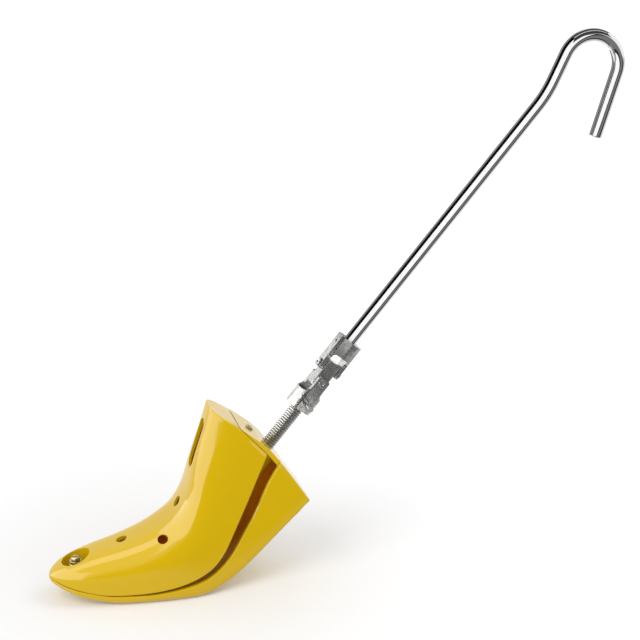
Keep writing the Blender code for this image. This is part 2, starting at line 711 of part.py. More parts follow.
def thread_mesh(name):
    """Threaded bar: a V profile one pitch high, wound up the bar and closed at its ends."""
    crest = SPINDLE_WIDTH / 2
    root = crest - THREAD_DEPTH
    profile = bpy.data.meshes.new(name + "_profile")
    profile.from_pydata(
        [(root, 0.0, THREAD_PITCH), (crest, 0.0, THREAD_PITCH / 2), (root, 0.0, 0.0)],
        [(0, 1), (1, 2)], [],
    )
    winder = bpy.data.objects.new(name + "_winder", profile)
    tools.objects.link(winder)
    wind = winder.modifiers.new("winding", "SCREW")
    wind.steps = THREAD_STEPS
    wind.render_steps = THREAD_STEPS
    wind.screw_offset = THREAD_PITCH
    wind.iterations = round(THREAD_LENGTH / THREAD_PITCH)
    wind.use_merge_vertices = False
    bpy.context.view_layer.update()
    shown = winder.evaluated_get(bpy.context.evaluated_depsgraph_get())
    wound = bpy.data.meshes.new_from_object(shown)
    bpy.data.objects.remove(winder)
    made = bmesh.new()
    made.from_mesh(wound)
    bmesh.ops.remove_doubles(made, verts=made.verts, dist=WELD)
    open_edges = [edge for edge in made.edges if edge.is_boundary]
    bmesh.ops.holes_fill(made, edges=open_edges, sides=0)
    bmesh.ops.recalc_face_normals(made, faces=made.faces)
    drop = THREAD_TOP - THREAD_LENGTH - THREAD_PITCH
    bmesh.ops.translate(made, verts=made.verts, vec=(0.0, 0.0, drop))
    made.to_mesh(wound)
    made.free()
    return wound


yoke_floor_height = LOWER_YOKE_START + YOKE_FLOOR
spindle = add_object("threaded_spindle", thread_mesh("thread"), parts, steel, spindle_frame)
foot_top = FOOT_HEIGHT - thrust_reach
spindle_core = add_object("spindle_core", bar_mesh(
    "spindle_core", SHANK_WIDTH, foot_top + 2 * RUNNING_GAP, yoke_floor_height - RUNNING_GAP,
), tools, parent=spindle_frame)
boolean(spindle, as_cutter(spindle_core), "UNION")
socket_floor = foot_top - SOCKET_DEPTH
spindle_tip = add_object("spindle_tip", bar_mesh(
    "spindle_tip", TIP_WIDTH, socket_floor + RUNNING_GAP, foot_top + CUT_OVERRUN,
), tools, parent=spindle_frame)
boolean(spindle, as_cutter(spindle_tip), "UNION")

# Thrust foot on the spindle's tip, and the plate it pushes on
dome_centre = RUNNING_GAP - thrust_reach + FOOT_DOME_RADIUS
dome_angle = math.asin(FOOT_WIDTH / 2 / FOOT_DOME_RADIUS)
dome = []
for i in range(FOOT_DOME_POINTS + 1):
    turn = dome_angle * (1 - i / FOOT_DOME_POINTS)
    dome.append((FOOT_DOME_RADIUS * math.sin(turn), dome_centre - FOOT_DOME_RADIUS * math.cos(turn)))
socket_radius = TIP_WIDTH / 2 + RUNNING_GAP
foot = turned("thrust_foot", (
    (0.0, socket_floor), (socket_radius, socket_floor), (socket_radius, foot_top),
    (FOOT_RIM_WIDTH / 2, foot_top), (FOOT_WIDTH / 2, foot_top - FOOT_RIM_DROP), *dome,
), parts, dark_steel, spindle_frame)

plate_top = -thrust_reach
plate = add_object("thrust_plate", box_mesh(
    "thrust_plate",
    (-PLATE_SHIFT - PLATE_LENGTH / 2, -PLATE_WIDTH / 2, plate_top - PLATE_THICKNESS),
    (-PLATE_SHIFT + PLATE_LENGTH / 2, PLATE_WIDTH / 2, plate_top),
), parts, dark_steel)
plate.location = entry
plate.rotation_euler = (0.0, ROD_LEAN, 0.0)
for side, name in ((-1, "near"), (1, "far")):
    spot = plate_middle + Vector((0.0, side * PLATE_SCREW_SPREAD / 2, 0.0))
    for target in (plate, lower_last):
        boolean(target, cut_cylinder(
            f"plate_screw_hole_{name}_{target.name}", PLATE_SCREW_WIDTH + 2 * RUNNING_GAP,
            PLATE_SCREW_LENGTH + RUNNING_GAP, spot, (0.0, ROD_LEAN, 0.0),
        ))
    plate_screw = turned("plate_screw_" + name, screw_profile(
        PLATE_SCREW_HEAD_WIDTH, PLATE_SCREW_HEAD_HEIGHT, RUNNING_GAP, PLATE_SCREW_WIDTH,
        -PLATE_SCREW_LENGTH,
    ), parts, steel)
    plate_screw.location = spot
    plate_screw.rotation_euler = (0.0, ROD_LEAN, 0.0)


def yoke(name, frame, finish):
    """Forked collar: closed end at zero, ears up, pins along Y."""
    collar = bar_mesh(name, COLLAR_WIDTH, 0.0, YOKE_LENGTH, steps=COLLAR_STEPS)
    made = add_object(name, collar, parts, finish, frame)
    far = COLLAR_WIDTH
    fork = box_mesh(
        name + "_fork", (-far, -YOKE_SLOT / 2, YOKE_FLOOR), (far, YOKE_SLOT / 2, YOKE_LENGTH + far),
    )
    cuts = [add_object(name + "_fork", fork, tools, parent=frame)]
    for side in (-1, 1):
        near_y, far_y = sorted((side * COLLAR_FLATS / 2, side * far))
        flat = box_mesh(name + "_flat", (-far, near_y, -far), (far, far_y, YOKE_LENGTH + far))
        cuts.append(add_object(f"{name}_flat_{side + 1}", flat, tools, parent=frame))
    return made, cuts


def cut_yoke(made, cuts, frame):
    """Slim the ears and chamfer their tips, then take all cuts."""
    far = COLLAR_WIDTH
    ear = EAR_WIDTH / 2
    tip = ear - EAR_CHAMFER
    for side in (-1, 1):
        outline = [
            Vector((side * out, 0.0, height)) for out, height in (
                (COLLAR_WIDTH / 2, YOKE_FLOOR), (ear, YOKE_FLOOR + YOKE_TAPER),
                (ear, YOKE_LENGTH - EAR_CHAMFER), (tip, YOKE_LENGTH), (tip, YOKE_LENGTH + far),
                (far, YOKE_LENGTH + far), (far, YOKE_FLOOR),
            )
        ]
        cuts.append(prism(f"{made.name}_taper_{side + 1}", outline, far, tools, frame))
    bore = bar_mesh(made.name + "_bore", ROD_BORES[made.name], -far, YOKE_FLOOR + far)
    cuts.append(add_object(made.name + "_bore", bore, tools, parent=frame))
    for pin, height, width in (
        ("pivot", YOKE_PIVOT, PIVOT_PIN_WIDTH), ("cross", YOKE_PIN, CROSS_PIN_WIDTH),
    ):
        hole_width = width + 2 * RUNNING_GAP
        cuts.append(pin_drill(f"{made.name}_{pin}_drill", hole_width, height, frame))
    for cutter in cuts:
        boolean(made, as_cutter(cutter))
    smooth(made)


def pin_drill(name, width, height, frame):
    """Drill across a collar along Y at a height."""
    bar = bar_mesh(name, width, -COLLAR_WIDTH, COLLAR_WIDTH, steps=PIN_STEPS)
    drill = add_object(name, bar, tools, parent=frame)
    drill.location = (0.0, 0.0, height)
    drill.rotation_euler = (math.pi / 2, 0.0, 0.0)
    return drill


def pivot_pin(name, frame, height):
    """Riveted pivot pin along Y, its heads outside the collar's flats."""
    reach_out = COLLAR_FLATS / 2 + RUNNING_GAP
    head = PIVOT_HEAD_WIDTH / 2
    shank = PIVOT_PIN_WIDTH / 2
    end = reach_out + PIVOT_HEAD_HEIGHT
    made = turned(name, (
        (0.0, end), (head - PIVOT_HEAD_CHAMFER, end), (head, end - PIVOT_HEAD_CHAMFER), (head, reach_out),
        (shank, reach_out), (shank, -reach_out), (head, -reach_out),
        (head, PIVOT_HEAD_CHAMFER - end), (head - PIVOT_HEAD_CHAMFER, -end), (0.0, -end),
    ), parts, steel, frame, steps=PIN_STEPS)
    made.location = (0.0, 0.0, height)
    made.rotation_euler = (math.pi / 2, 0.0, 0.0)
    return made


def cross_pin(name, frame, height):
    """Plain pin along Y through a collar, its ends a little proud."""
    end = COLLAR_FLATS / 2 + CROSS_PIN_PROUD
    radius = CROSS_PIN_WIDTH / 2
    made = turned(name, (
        (0.0, end), (radius - CROSS_PIN_PROUD, end), (radius, end - CROSS_PIN_PROUD),
        (radius, CROSS_PIN_PROUD - end), (radius - CROSS_PIN_PROUD, -end), (0.0, -end),
    ), parts, steel, frame, steps=PIN_STEPS)
    made.location = (0.0, 0.0, height)
    made.rotation_euler = (math.pi / 2, 0.0, 0.0)
    return made


ROD_BORES = {
    "lower_yoke": SHANK_WIDTH + 2 * RUNNING_GAP,
    "upper_yoke": ROD_WIDTH + 2 * RUNNING_GAP,
}

lower_yoke_frame = joint_empty(
    "lower_yoke_frame", (0.0, 0.0, LOWER_YOKE_START), parent=spindle_frame)
bpy.context.view_layer.update()
lower_yoke, lower_cuts = yoke("lower_yoke", lower_yoke_frame, steel)
cut_yoke(lower_yoke, lower_cuts, lower_yoke_frame)
pivot_pin("lower_pivot_pin", lower_yoke_frame, YOKE_PIVOT)
cross_pin("spindle_cross_pin", lower_yoke_frame, YOKE_PIN)
boolean(spindle, as_cutter(pin_drill(
    "spindle_pin_hole", CROSS_PIN_WIDTH + 2 * RUNNING_GAP, YOKE_PIN, lower_yoke_frame)))

# The upper yoke hangs the other way up and a quarter turn round, its ears over the link
upper_yoke_frame = joint_empty("upper_yoke_frame", (0.0, 0.0, YOKE_PIVOT), parent=upper_pivot_frame)
upper_yoke_frame.rotation_euler = (math.pi, 0.0, math.pi / 2)
bpy.context.view_layer.update()
upper_yoke, upper_cuts = yoke("upper_yoke", upper_yoke_frame, steel)
cut_yoke(upper_yoke, upper_cuts, upper_yoke_frame)
pivot_pin("upper_pivot_pin", upper_yoke_frame, YOKE_PIVOT)
cross_pin("handle_cross_pin", upper_yoke_frame, YOKE_PIN)

# Link block between the two pivots
link_start = (PIVOT_SPACING - LINK_LENGTH) / 2
link = add_object("link_block", box_mesh(
    "link_block", (-LINK_SIDE / 2, -LINK_SIDE / 2, link_start),
    (LINK_SIDE / 2, LINK_SIDE / 2, link_start + LINK_LENGTH),
), parts, steel, lower_pivot_frame)
rounding = link.modifiers.new("chamfer", "BEVEL")
rounding.width = LINK_CHAMFER
rounding.segments = 1
link_hole_width = PIVOT_PIN_WIDTH + 2 * RUNNING_GAP
boolean(link, as_cutter(pin_drill("link_lower_hole", link_hole_width, 0.0, lower_pivot_frame)))
upper_drill = pin_drill("link_upper_hole", link_hole_width, 0.0, upper_pivot_frame)
upper_drill.rotation_euler = (0.0, math.pi / 2, 0.0)
boolean(link, as_cutter(upper_drill))


def arc(start, heading, radius, angle, points, turn):
    """Points along an arc in the side view; turn is 1 to the left and -1 to the right."""
    centre = start + Vector((-math.sin(heading), 0.0, math.cos(heading))) * radius * turn
    made = []
    for i in range(1, points + 1):
        now = heading + turn * angle * i / points
        made.append(centre + Vector((math.sin(now), 0.0, -math.cos(now))) * radius * turn)
    return made, heading + turn * angle


def handle_path():
    """Centre line of the handle, from the upper yoke to the hook's end."""
    heading = math.pi / 2 - ROD_LEAN
    start = entry + rod_up * (upper_pivot_height + YOKE_PIVOT - YOKE_FLOOR + RUNNING_GAP)
    tangent = BEND_RADIUS * math.tan(BEND_ANGLE / 2)
    points = [start, entry + rod_up * (ROD_STRAIGHT - tangent)]
    bend, heading = arc(points[-1], heading, BEND_RADIUS, BEND_ANGLE, BEND_POINTS, 1)
    points += bend
    neck_run = Vector((math.cos(heading), 0.0, math.sin(heading)))
    points.append(points[-1] + neck_run * (NECK_LENGTH - tangent))
    hook, heading = arc(points[-1], heading, HOOK_RADIUS, HOOK_ANGLE, HOOK_POINTS, -1)
    points += hook
    leg_run = Vector((math.cos(heading), 0.0, math.sin(heading)))
    points.append(points[-1] + leg_run * HOOK_LEG)
    return points


def rod_mesh(name, path, width):
    """Bent round bar along a path, closed at its ends."""
    curve = bpy.data.curves.new(name, "CURVE")
    curve.dimensions = "3D"
    curve.bevel_depth = width / 2
    curve.bevel_resolution = 3
    curve.use_fill_caps = True
    spline = curve.splines.new("POLY")
    spline.points.add(len(path) - 1)
    for point, spot in zip(spline.points, path):
        point.co = (*spot, 1.0)
    bent = bpy.data.objects.new(name + "_curve", curve)
    tools.objects.link(bent)
    bpy.context.view_layer.update()
    shown = bent.evaluated_get(bpy.context.evaluated_depsgraph_get())
    solid = bpy.data.meshes.new_from_object(shown)
    bpy.data.objects.remove(bent)
    made = bmesh.new()
    made.from_mesh(solid)
    bmesh.ops.remove_doubles(made, verts=made.verts, dist=WELD)
    bmesh.ops.recalc_face_normals(made, faces=made.faces)
    made.to_mesh(solid)
    made.free()
    return solid


handle_points = handle_path()
pivot_place = upper_pivot_frame.matrix_world.inverted()
handle = add_object("handle_hook", rod_mesh(
    "handle_hook", [pivot_place @ point for point in handle_points], ROD_WIDTH,
), parts, chrome, upper_pivot_frame)
boolean(handle, as_cutter(pin_drill(
    "handle_pin_hole", CROSS_PIN_WIDTH + 2 * RUNNING_GAP, YOKE_PIN, upper_yoke_frame)))

for made in (upper_last, lower_last, toe_washer, toe_screw, foot, guide_screw):
    smooth(made)
smooth(handle)
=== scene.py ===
"""Boot stretcher: a yellow two-part last, opened by a long chromed handle.

Toe to -X, heel to +X, mirror plane Y = 0, everything in metres in the frame's own axes.
"""

import math

import bmesh
import bpy
import numpy as np
from mathutils import Euler, Matrix, Vector


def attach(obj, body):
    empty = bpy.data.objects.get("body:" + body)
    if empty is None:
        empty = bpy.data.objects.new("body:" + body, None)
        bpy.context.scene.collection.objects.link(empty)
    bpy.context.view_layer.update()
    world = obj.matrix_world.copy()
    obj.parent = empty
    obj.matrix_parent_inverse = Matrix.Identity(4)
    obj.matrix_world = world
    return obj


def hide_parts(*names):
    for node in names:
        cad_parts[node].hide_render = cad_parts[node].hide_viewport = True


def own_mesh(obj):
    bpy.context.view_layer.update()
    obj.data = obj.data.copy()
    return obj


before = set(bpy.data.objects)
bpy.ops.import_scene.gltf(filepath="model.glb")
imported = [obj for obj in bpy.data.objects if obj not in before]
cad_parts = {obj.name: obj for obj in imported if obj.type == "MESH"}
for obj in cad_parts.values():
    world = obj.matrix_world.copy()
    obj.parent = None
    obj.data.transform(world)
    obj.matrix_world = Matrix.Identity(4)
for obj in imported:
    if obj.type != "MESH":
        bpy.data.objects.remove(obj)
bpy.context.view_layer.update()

# The camera looks down a little at the near side of the last, from the toe's left.
# Its place follows from the pixel where the sole's rest shows and the scale there.
VIEW_AZIMUTH = math.radians(-15.5)
VIEW_ELEVATION = math.radians(19.5)
VIEW_DISTANCE = 1.10
METRES_PER_PIXEL = 0.00070
FRAME_PIXELS = 640
SENSOR_MM = 36.0
REST_PIXEL = (140.0, 585.6)
VIEW_CLIP = (0.05, 30.0)


def in_scene(name, data):
    """New object in the scene."""
    placed = bpy.data.objects.new(name, data)
    bpy.context.scene.collection.objects.link(placed)
    return placed


back = Vector((
    math.sin(VIEW_AZIMUTH) * math.cos(VIEW_ELEVATION),
    -math.cos(VIEW_AZIMUTH) * math.cos(VIEW_ELEVATION),
    math.sin(VIEW_ELEVATION),
))
right = Vector((math.cos(VIEW_AZIMUTH), math.sin(VIEW_AZIMUTH), 0.0))
above = back.cross(right)
across_px = REST_PIXEL[0] - FRAME_PIXELS / 2
down_px = REST_PIXEL[1] - FRAME_PIXELS / 2
eye = VIEW_DISTANCE * back - across_px * METRES_PER_PIXEL * right + down_px * METRES_PER_PIXEL * above

lens = bpy.data.cameras.new("camera")
lens.sensor_width = SENSOR_MM
lens.lens = SENSOR_MM * (VIEW_DISTANCE / METRES_PER_PIXEL) / FRAME_PIXELS
lens.clip_start, lens.clip_end = VIEW_CLIP
camera = in_scene("camera", lens)
camera.matrix_world = Matrix((
    (right.x, above.x, back.x, eye.x),
    (right.y, above.y, back.y, eye.y),
    (right.z, above.z, back.z, eye.z),
    (0.0, 0.0, 0.0, 1.0),
))
bpy.context.scene.camera = camera
bpy.context.scene.view_settings.view_transform = "Standard"


# The studio: a white floor that keeps the object's shadow, a white world, and soft boxes over
# toe and heel. Only the gloss shows the screens on the left and above, and the dark camera side.
WHITE = (1.0, 1.0, 1.0, 1.0)
FLOOR_SIZE = 12.0
FLOOR_DROP = 0.0002
FLOOR_COLOUR = (0.85, 0.85, 0.855, 1.0)
# The floor's own glow, near and far, and where it starts and ends to grow
FLOOR_GLOW = (0.12, 0.50)
FLOOR_GLOW_SPAN = (0.10, 0.60)
# The floor's brightness in the gloss, on the near and the far side, and where it changes
FLOOR_IN_GLOSS = (0.6, 1.1)
FLOOR_IN_GLOSS_SPAN = (-0.3, 0.8)
WORLD_LIGHT = 0.68
DARK_LEVEL = 0.035
DARK_WAY = Vector((0.17, -0.97, -0.17)).normalized()
DARK_CONE = math.radians(37.0)
DARK_CONE_BLUR = math.radians(12.0)
SEEN_FROM = (0.04, 0.0, 0.08)


def node(tree, kind, **inputs):
    """Add a shader node or a node group. Words are its sockets, i0 the first one; _words, settings."""
    grouped = isinstance(kind, bpy.types.NodeTree)
    made = tree.nodes.new("ShaderNodeGroup" if grouped else "ShaderNode" + kind)
    if grouped:
        made.node_tree = kind
    for name, value in inputs.items():
        if name.startswith("_"):
            setattr(made, name[1:], value)
            continue
        socket = made.inputs[int(name[1:]) if name[1:].isdigit() else name.replace("_", " ")]
        if isinstance(value, bpy.types.Node):
            value = value.outputs[0]
        if isinstance(value, bpy.types.NodeSocket):
            tree.links.new(value, socket)
        else:
            socket.default_value = value
    return made


def maths(tree, operation, *values, clamp=False):
    """Add a sum on numbers, nodes and sockets."""
    sockets = {f"i{number}": value for number, value in enumerate(values)}
    return node(tree, "Math", _operation=operation, _use_clamp=clamp, **sockets)


def ranged(tree, value, start, end, low=0.0, high=1.0):
    """Carry a value from one range to another."""
    return node(tree, "MapRange", Value=value, From_Min=start, From_Max=end, To_Min=low, To_Max=high)


def effect(name, output, *inputs, kind="Float"):
    """New node group with one number as its output, and its input sockets."""
    made = bpy.data.node_groups.new(name, "ShaderNodeTree")
    for socket_name in inputs:
        made.interface.new_socket(socket_name, in_out="INPUT", socket_type="NodeSocket" + kind)
    made.interface.new_socket(output, in_out="OUTPUT", socket_type="NodeSocketFloat")
    return made, *made.nodes.new("NodeGroupInput").outputs[:len(inputs)]


def give(group, result):
    """Make a node's number the output of its group."""
    group.links.new(result.outputs[0], group.nodes.new("NodeGroupOutput").inputs[0])


def ray_kinds(tree):
    """Whether a ray is mirrored, and whether it comes straight from the camera or through glass."""
    rays = node(tree, "LightPath").outputs
    return rays["Is Glossy Ray"], maths(tree, "MAXIMUM", rays["Is Camera Ray"], rays["Is Transmission Ray"])


def bare_material(name):
    """Material with an empty tree, which is never sampled as a lamp."""
    made = bpy.data.materials.new(name)
    made.use_nodes = True
    made.node_tree.nodes.remove(made.node_tree.nodes["Principled BSDF"])
    made.cycles.emission_sampling = "NONE"
    return made, made.node_tree


def show(tree, shader, end="Material Output"):
    """Make a shader the surface."""
    tree.links.new(shader.outputs[0], tree.nodes[end].inputs["Surface"])


def plain_object(name, made, finishes=()):
    """Object at the origin from a bmesh, which is used up."""
    mesh = bpy.data.meshes.new(name)
    made.to_mesh(mesh)
    made.free()
    for finish in finishes:
        mesh.materials.append(finish)
    return in_scene(name, mesh)


def moved(made, matrix):
    """The same bmesh, put in place."""
    bmesh.ops.transform(made, verts=made.verts, matrix=matrix)
    return made


dark_side, way = effect("dark_camera_side", "Brightness", "Way", kind="Vector")
straight = node(dark_side, "VectorMath", _operation="NORMALIZE", i0=way)
towards = node(dark_side, "VectorMath", _operation="DOT_PRODUCT", i0=straight, i1=DARK_WAY)
give(dark_side, ranged(
    dark_side, towards.outputs["Value"], math.cos(DARK_CONE + DARK_CONE_BLUR / 2),
    math.cos(DARK_CONE - DARK_CONE_BLUR / 2), 1.0, DARK_LEVEL))

floor_paint, tree = bare_material("floor_paint")
glossy, seen = ray_kinds(tree)
spot = node(tree, "TexCoord").outputs["Object"]
outward = node(tree, "VectorMath", _operation="LENGTH", i0=spot)
fill = ranged(tree, outward.outputs["Value"], *FLOOR_GLOW_SPAN, *FLOOR_GLOW)
glow = node(tree, "Emission", Color=WHITE, Strength=maths(tree, "MULTIPLY", seen, fill))
lit = node(tree, "AddShader", i0=node(tree, "BsdfDiffuse", Color=FLOOR_COLOUR), i1=glow)
way = node(tree, "VectorMath", _operation="SUBTRACT", i0=spot, i1=SEEN_FROM)
parts = node(tree, "SeparateXYZ", Vector=node(tree, "VectorMath", _operation="NORMALIZE", i0=way))
behind = ranged(tree, parts.outputs["Y"], *FLOOR_IN_GLOSS_SPAN, *FLOOR_IN_GLOSS)
dimmed = maths(tree, "MULTIPLY", node(tree, dark_side, Way=way), behind)
mirrored = node(tree, "Emission", Color=WHITE, Strength=dimmed)
show(tree, node(tree, "MixShader", Fac=glossy, i1=lit, i2=mirrored))
sheet = bmesh.new()
bmesh.ops.create_grid(sheet, x_segments=1, y_segments=1, size=FLOOR_SIZE / 2)
plain_object("floor", moved(sheet, Matrix.Translation((0.0, 0.0, -FLOOR_DROP))), [floor_paint])

world = bpy.data.worlds.new("studio_world")
world.use_nodes = True
world.cycles.sampling_method = "NONE"
bpy.context.scene.world = world
tree = world.node_tree
even_light = tree.nodes["Background"]
even_light.inputs["Color"].default_value = WHITE
even_light.inputs["Strength"].default_value = WORLD_LIGHT
glossy, seen = ray_kinds(tree)
side_light = node(tree, dark_side, Way=node(tree, "TexCoord").outputs["Generated"])
mirrored = node(tree, "Background", Color=WHITE, Strength=side_light)
unseen = node(tree, "MixShader", Fac=glossy, i1=even_light, i2=mirrored)
white = node(tree, "Background", Color=WHITE, Strength=1.0)
show(tree, node(tree, "MixShader", Fac=seen, i1=unseen, i2=white), "World Output")

SOFT_BOXES = (
    # name, place, aimed at, width, height, power
    ("light_over_toe", (-0.70, -0.55, 0.95), (0.05, 0.0, 0.08), 0.70, 0.70, 5.5),
    ("light_over_heel", (0.80, -0.20, 1.10), (0.12, 0.0, 0.15), 0.50, 0.80, 2.5),
)
SCREENS = (
    # name, place, aimed at, width, height, brightness
    ("left_screen", (-0.90, -0.35, 0.60), (0.0, -0.35, 0.60), 2.70, 1.14, 3.5),
    ("top_screen", (-0.50, 0.10, 1.20), (-0.50, 0.10, 0.0), 1.80, 0.70, 3.5),
)


def aimed(place_at, aim):
    """Matrix of a lamp or a screen that faces a point."""
    turn = (Vector(aim) - Vector(place_at)).to_track_quat("-Z", "Y").to_matrix().to_4x4()
    return Matrix.Translation(place_at) @ turn


def glowing(name, brightness):
    """Paper that glows on the back of its faces, its inner side, and is clear on the outer one."""
    paper, tree = bare_material(name)
    lit = node(tree, "Emission", Color=WHITE, Strength=brightness)
    side = node(tree, "NewGeometry").outputs["Backfacing"]
    show(tree, node(tree, "MixShader", Fac=side, i1=node(tree, "BsdfTransparent"), i2=lit))
    return paper


def in_gloss_only(placed):
    """Stage piece that shows in reflections and nowhere else."""
    for kind in ("camera", "diffuse", "shadow", "transmission"):
        setattr(placed, f"visible_{kind}", False)


for name, place_at, aim, width, height, power in SOFT_BOXES:
    lamp = bpy.data.lights.new(name, "AREA")
    lamp.shape = "RECTANGLE"
    lamp.size = width
    lamp.size_y = height
    lamp.energy = power
    box_lamp = in_scene(name, lamp)
    box_lamp.visible_camera = False
    box_lamp.visible_glossy = False
    box_lamp.matrix_world = aimed(place_at, aim)
for name, place_at, aim, width, height, brightness in SCREENS:
    screen = bmesh.new()
    bmesh.ops.create_grid(screen, x_segments=1, y_segments=1, size=0.5)
    bmesh.ops.scale(screen, verts=screen.verts, vec=(width, height, 1.0))
    placed = plain_object(name, moved(screen, aimed(place_at, aim)), [glowing(f"{name}_paper", brightness)])
    in_gloss_only(placed)


# The upper half of the last: a hollow injection moulding in glossy yellow plastic, from
# toe to ankle front, with plug holes, a toe bore and a slot. It closes at its top by a
# flat plate, and ends below in a rounded rim along the parting.
LAST_LENGTH = 0.180
LAST_HEIGHT = 0.132
LAST_WIDTH = 0.058
WALL = 0.003
GAP = 0.0003
WELD = 0.000001
OVERRUN = 0.020
RIM_ROUND = 0.0007
RIM_STEPS = 4
ALONG_STEPS = 110
ROUND_THE_SIDE = 44
TOE_CROWDING = 1.35
PROFILE_SAMPLES = 181
STATION_SAMPLES = 220
# Sections, toe to ankle: sole point x and z, crest point x and z, half width, as shares
STATION_SHARES = np.array((
    (-0.3455, 0.117, -0.3455, 0.135, 0.040), (-0.3390, 0.110, -0.3390, 0.149, 0.100),
    (-0.3250, 0.101, -0.3240, 0.168, 0.166), (-0.2970, 0.083, -0.2955, 0.193, 0.245),
    (-0.2470, 0.052, -0.2445, 0.222, 0.321), (-0.1720, 0.021, -0.1695, 0.253, 0.381),
    (-0.0780, 0.000, -0.0740, 0.285, 0.434), (0.0220, 0.000, 0.0170, 0.328, 0.476),
    (0.1060, 0.000, 0.0850, 0.379, 0.497), (0.1780, 0.000, 0.1385, 0.437, 0.500),
    (0.2390, 0.010, 0.1730, 0.512, 0.488), (0.2970, 0.037, 0.1925, 0.585, 0.461),
    (0.3560, 0.083, 0.2065, 0.658, 0.431), (0.4170, 0.146, 0.2220, 0.731, 0.403),
    (0.4830, 0.227, 0.2395, 0.805, 0.383), (0.5500, 0.312, 0.2570, 0.877, 0.369),
    (0.6060, 0.383, 0.2720, 0.943, 0.362), (0.6580, 0.452, 0.2915, 1.027, 0.359),
    (0.7110, 0.523, 0.3140, 1.121, 0.355),
))
CREST_POWERS = (2.5, 3.3)
SOLE_POWERS = (4.5, 15.0)
WIDEST_SHARES = (0.38, 0.42)
SOLE_FLAT_SHARE = 1.03
FIRST_CAVITY_STATION = 5.0
UPPER_FIRST_STATION = 0.25
UPPER_EDGE_SHARES = np.array((
    (-0.400, 0.140), (-0.330, 0.127), (-0.250, 0.094), (-0.145, 0.061), (-0.004, 0.058),
    (0.114, 0.0765), (0.204, 0.113), (0.268, 0.160), (0.314, 0.233), (0.356, 0.344),
    (0.380, 0.412), (0.419, 0.526), (0.458, 0.649), (0.489, 0.746),
))
LOWER_EDGE_SHARES = np.array((
    (-0.400, 0.136), (-0.330, 0.123), (-0.250, 0.090), (-0.145, 0.057), (-0.087, 0.050),
    (0.033, 0.048), (0.143, 0.064), (0.233, 0.092), (0.299, 0.147), (0.346, 0.216),
    (0.394, 0.321), (0.441, 0.433), (0.486, 0.569), (0.540, 0.693),
))
EDGE_STEPS = 5
PEAK_SHARES = (0.282, 1.004)
GUIDE_START_SHARES = (0.389, 0.898)
LOWER_BEND_SHARES = (0.572, 0.630)
HEEL_CORNER_SHARES = (0.657, 0.451)
GUIDE_SHELF = 0.007
ROD_LEAN = math.radians(40.0)
ENTRY_SHARES = (0.5135, 0.730)
BOSS_WIDTH = 0.019
BOSS_LENGTH = 0.022
SIDE_HOLE_WIDTH = 0.007
SIDE_HOLE_SHARES = (0.078, 0.334)
SIDE_HOLE_SPREAD_SHARE = 0.342
SIDE_HOLE_SLOPE = math.radians(40.0)
CREST_HOLE_WIDTH = 0.0078
CREST_HOLES_SHARES = ((-0.064, 0.289, 22.0), (0.155, 0.469, 52.0))
HOLE_DEPTH = 0.008
SLOT_WIDTH = 0.010
SLOT_LENGTH = 0.036
SLOT_SHARES = (0.230, 0.795)
SLOT_LEAN = math.radians(19.0)
TOE_BORE_SHARE = -0.242
TOE_BORE_WIDTH = 0.0195
TOE_FLOOR = 0.004
TOE_FLOOR_HOLE_WIDTH = 0.0092
DRILL_STEPS = 56
SCREW_SEAT_SHARES = (0.4435, 0.838)
SCREW_LEAN = math.radians(41.0)
SCREW_WIDTH = 0.0035
SCREW_LENGTH = 0.0085
SHARP_ANGLE = math.radians(35.0)
# How far light goes in the walls, for red, green and blue, which shows in holes and parting
WALL_GLOW = (0.85, 0.70, 0.12)
WALL_GLOW_REACH = 0.005


def place(share):
    """Side-view point, as x and z, from shares of the last's length and height."""
    return np.array((share[0] * LAST_LENGTH, share[1] * LAST_HEIGHT))


def between(rows, u):
    """Row of numbers on the smooth curve through rows, at a place counted in rows."""
    i = min(max(int(u), 0), len(rows) - 2)
    t = u - i
    quad = np.array([rows[max(i - 1, 0)], rows[i], rows[i + 1], rows[min(i + 2, len(rows) - 1)]])
    weights = np.array((
        (-t + 2 * t**2 - t**3) / 2, (2 - 5 * t**2 + 3 * t**3) / 2,
        (t + 4 * t**2 - 3 * t**3) / 2, (t**3 - t**2) / 2,
    ))
    return weights @ quad


def edge_line(shares):
    """Parting edge as a smooth polyline of the side view."""
    count = (len(shares) - 1) * EDGE_STEPS + 1
    return np.array([place(between(shares, k / EDGE_STEPS)) for k in range(count)])


def beyond(end, before, length):
    """Point further on along a straight run."""
    return end + (end - before) / np.linalg.norm(end - before) * length


def run_on(line, length):
    """Polyline with both ends run on straight."""
    return np.vstack((beyond(line[0], line[1], length), line, beyond(line[-1], line[-2], length)))


def section(u, inset=0.0):
    """Half outline of the last at a station: x, y, z from the sole's middle to the crest."""
    row = between(STATION_SHARES, u)
    along = u / (len(STATION_SHARES) - 1)
    sole = place((row[0], max(row[1], 0.0)))
    crest = place((row[2], row[3]))
    full = np.linalg.norm(crest - sole)
    rise_line = (crest - sole) / full
    turn = np.linspace(-math.pi / 2, math.pi / 2, PROFILE_SAMPLES)
    side, rise = np.abs(np.cos(turn)), np.sin(turn)
    crest_power, sole_power, widest = (
        at_toe + (at_heel - at_toe) * along for at_toe, at_heel in (CREST_POWERS, SOLE_POWERS, WIDEST_SHARES)
    )
    power = np.where(rise >= 0, crest_power, sole_power)
    across = side ** (2 / power) * (row[4] * LAST_WIDTH - inset)
    across[[0, -1]] = 0.0
    lift = np.abs(rise) ** (2 / power)
    level = np.where(
        rise >= 0, widest + (1 - widest) * lift,
        widest - widest * np.minimum(1.0, SOLE_FLAT_SHARE * lift),
    )
    height = inset + (full - 2 * inset) * level
    return np.column_stack((sole[0] + rise_line[0] * height, across, sole[1] + rise_line[1] * height))


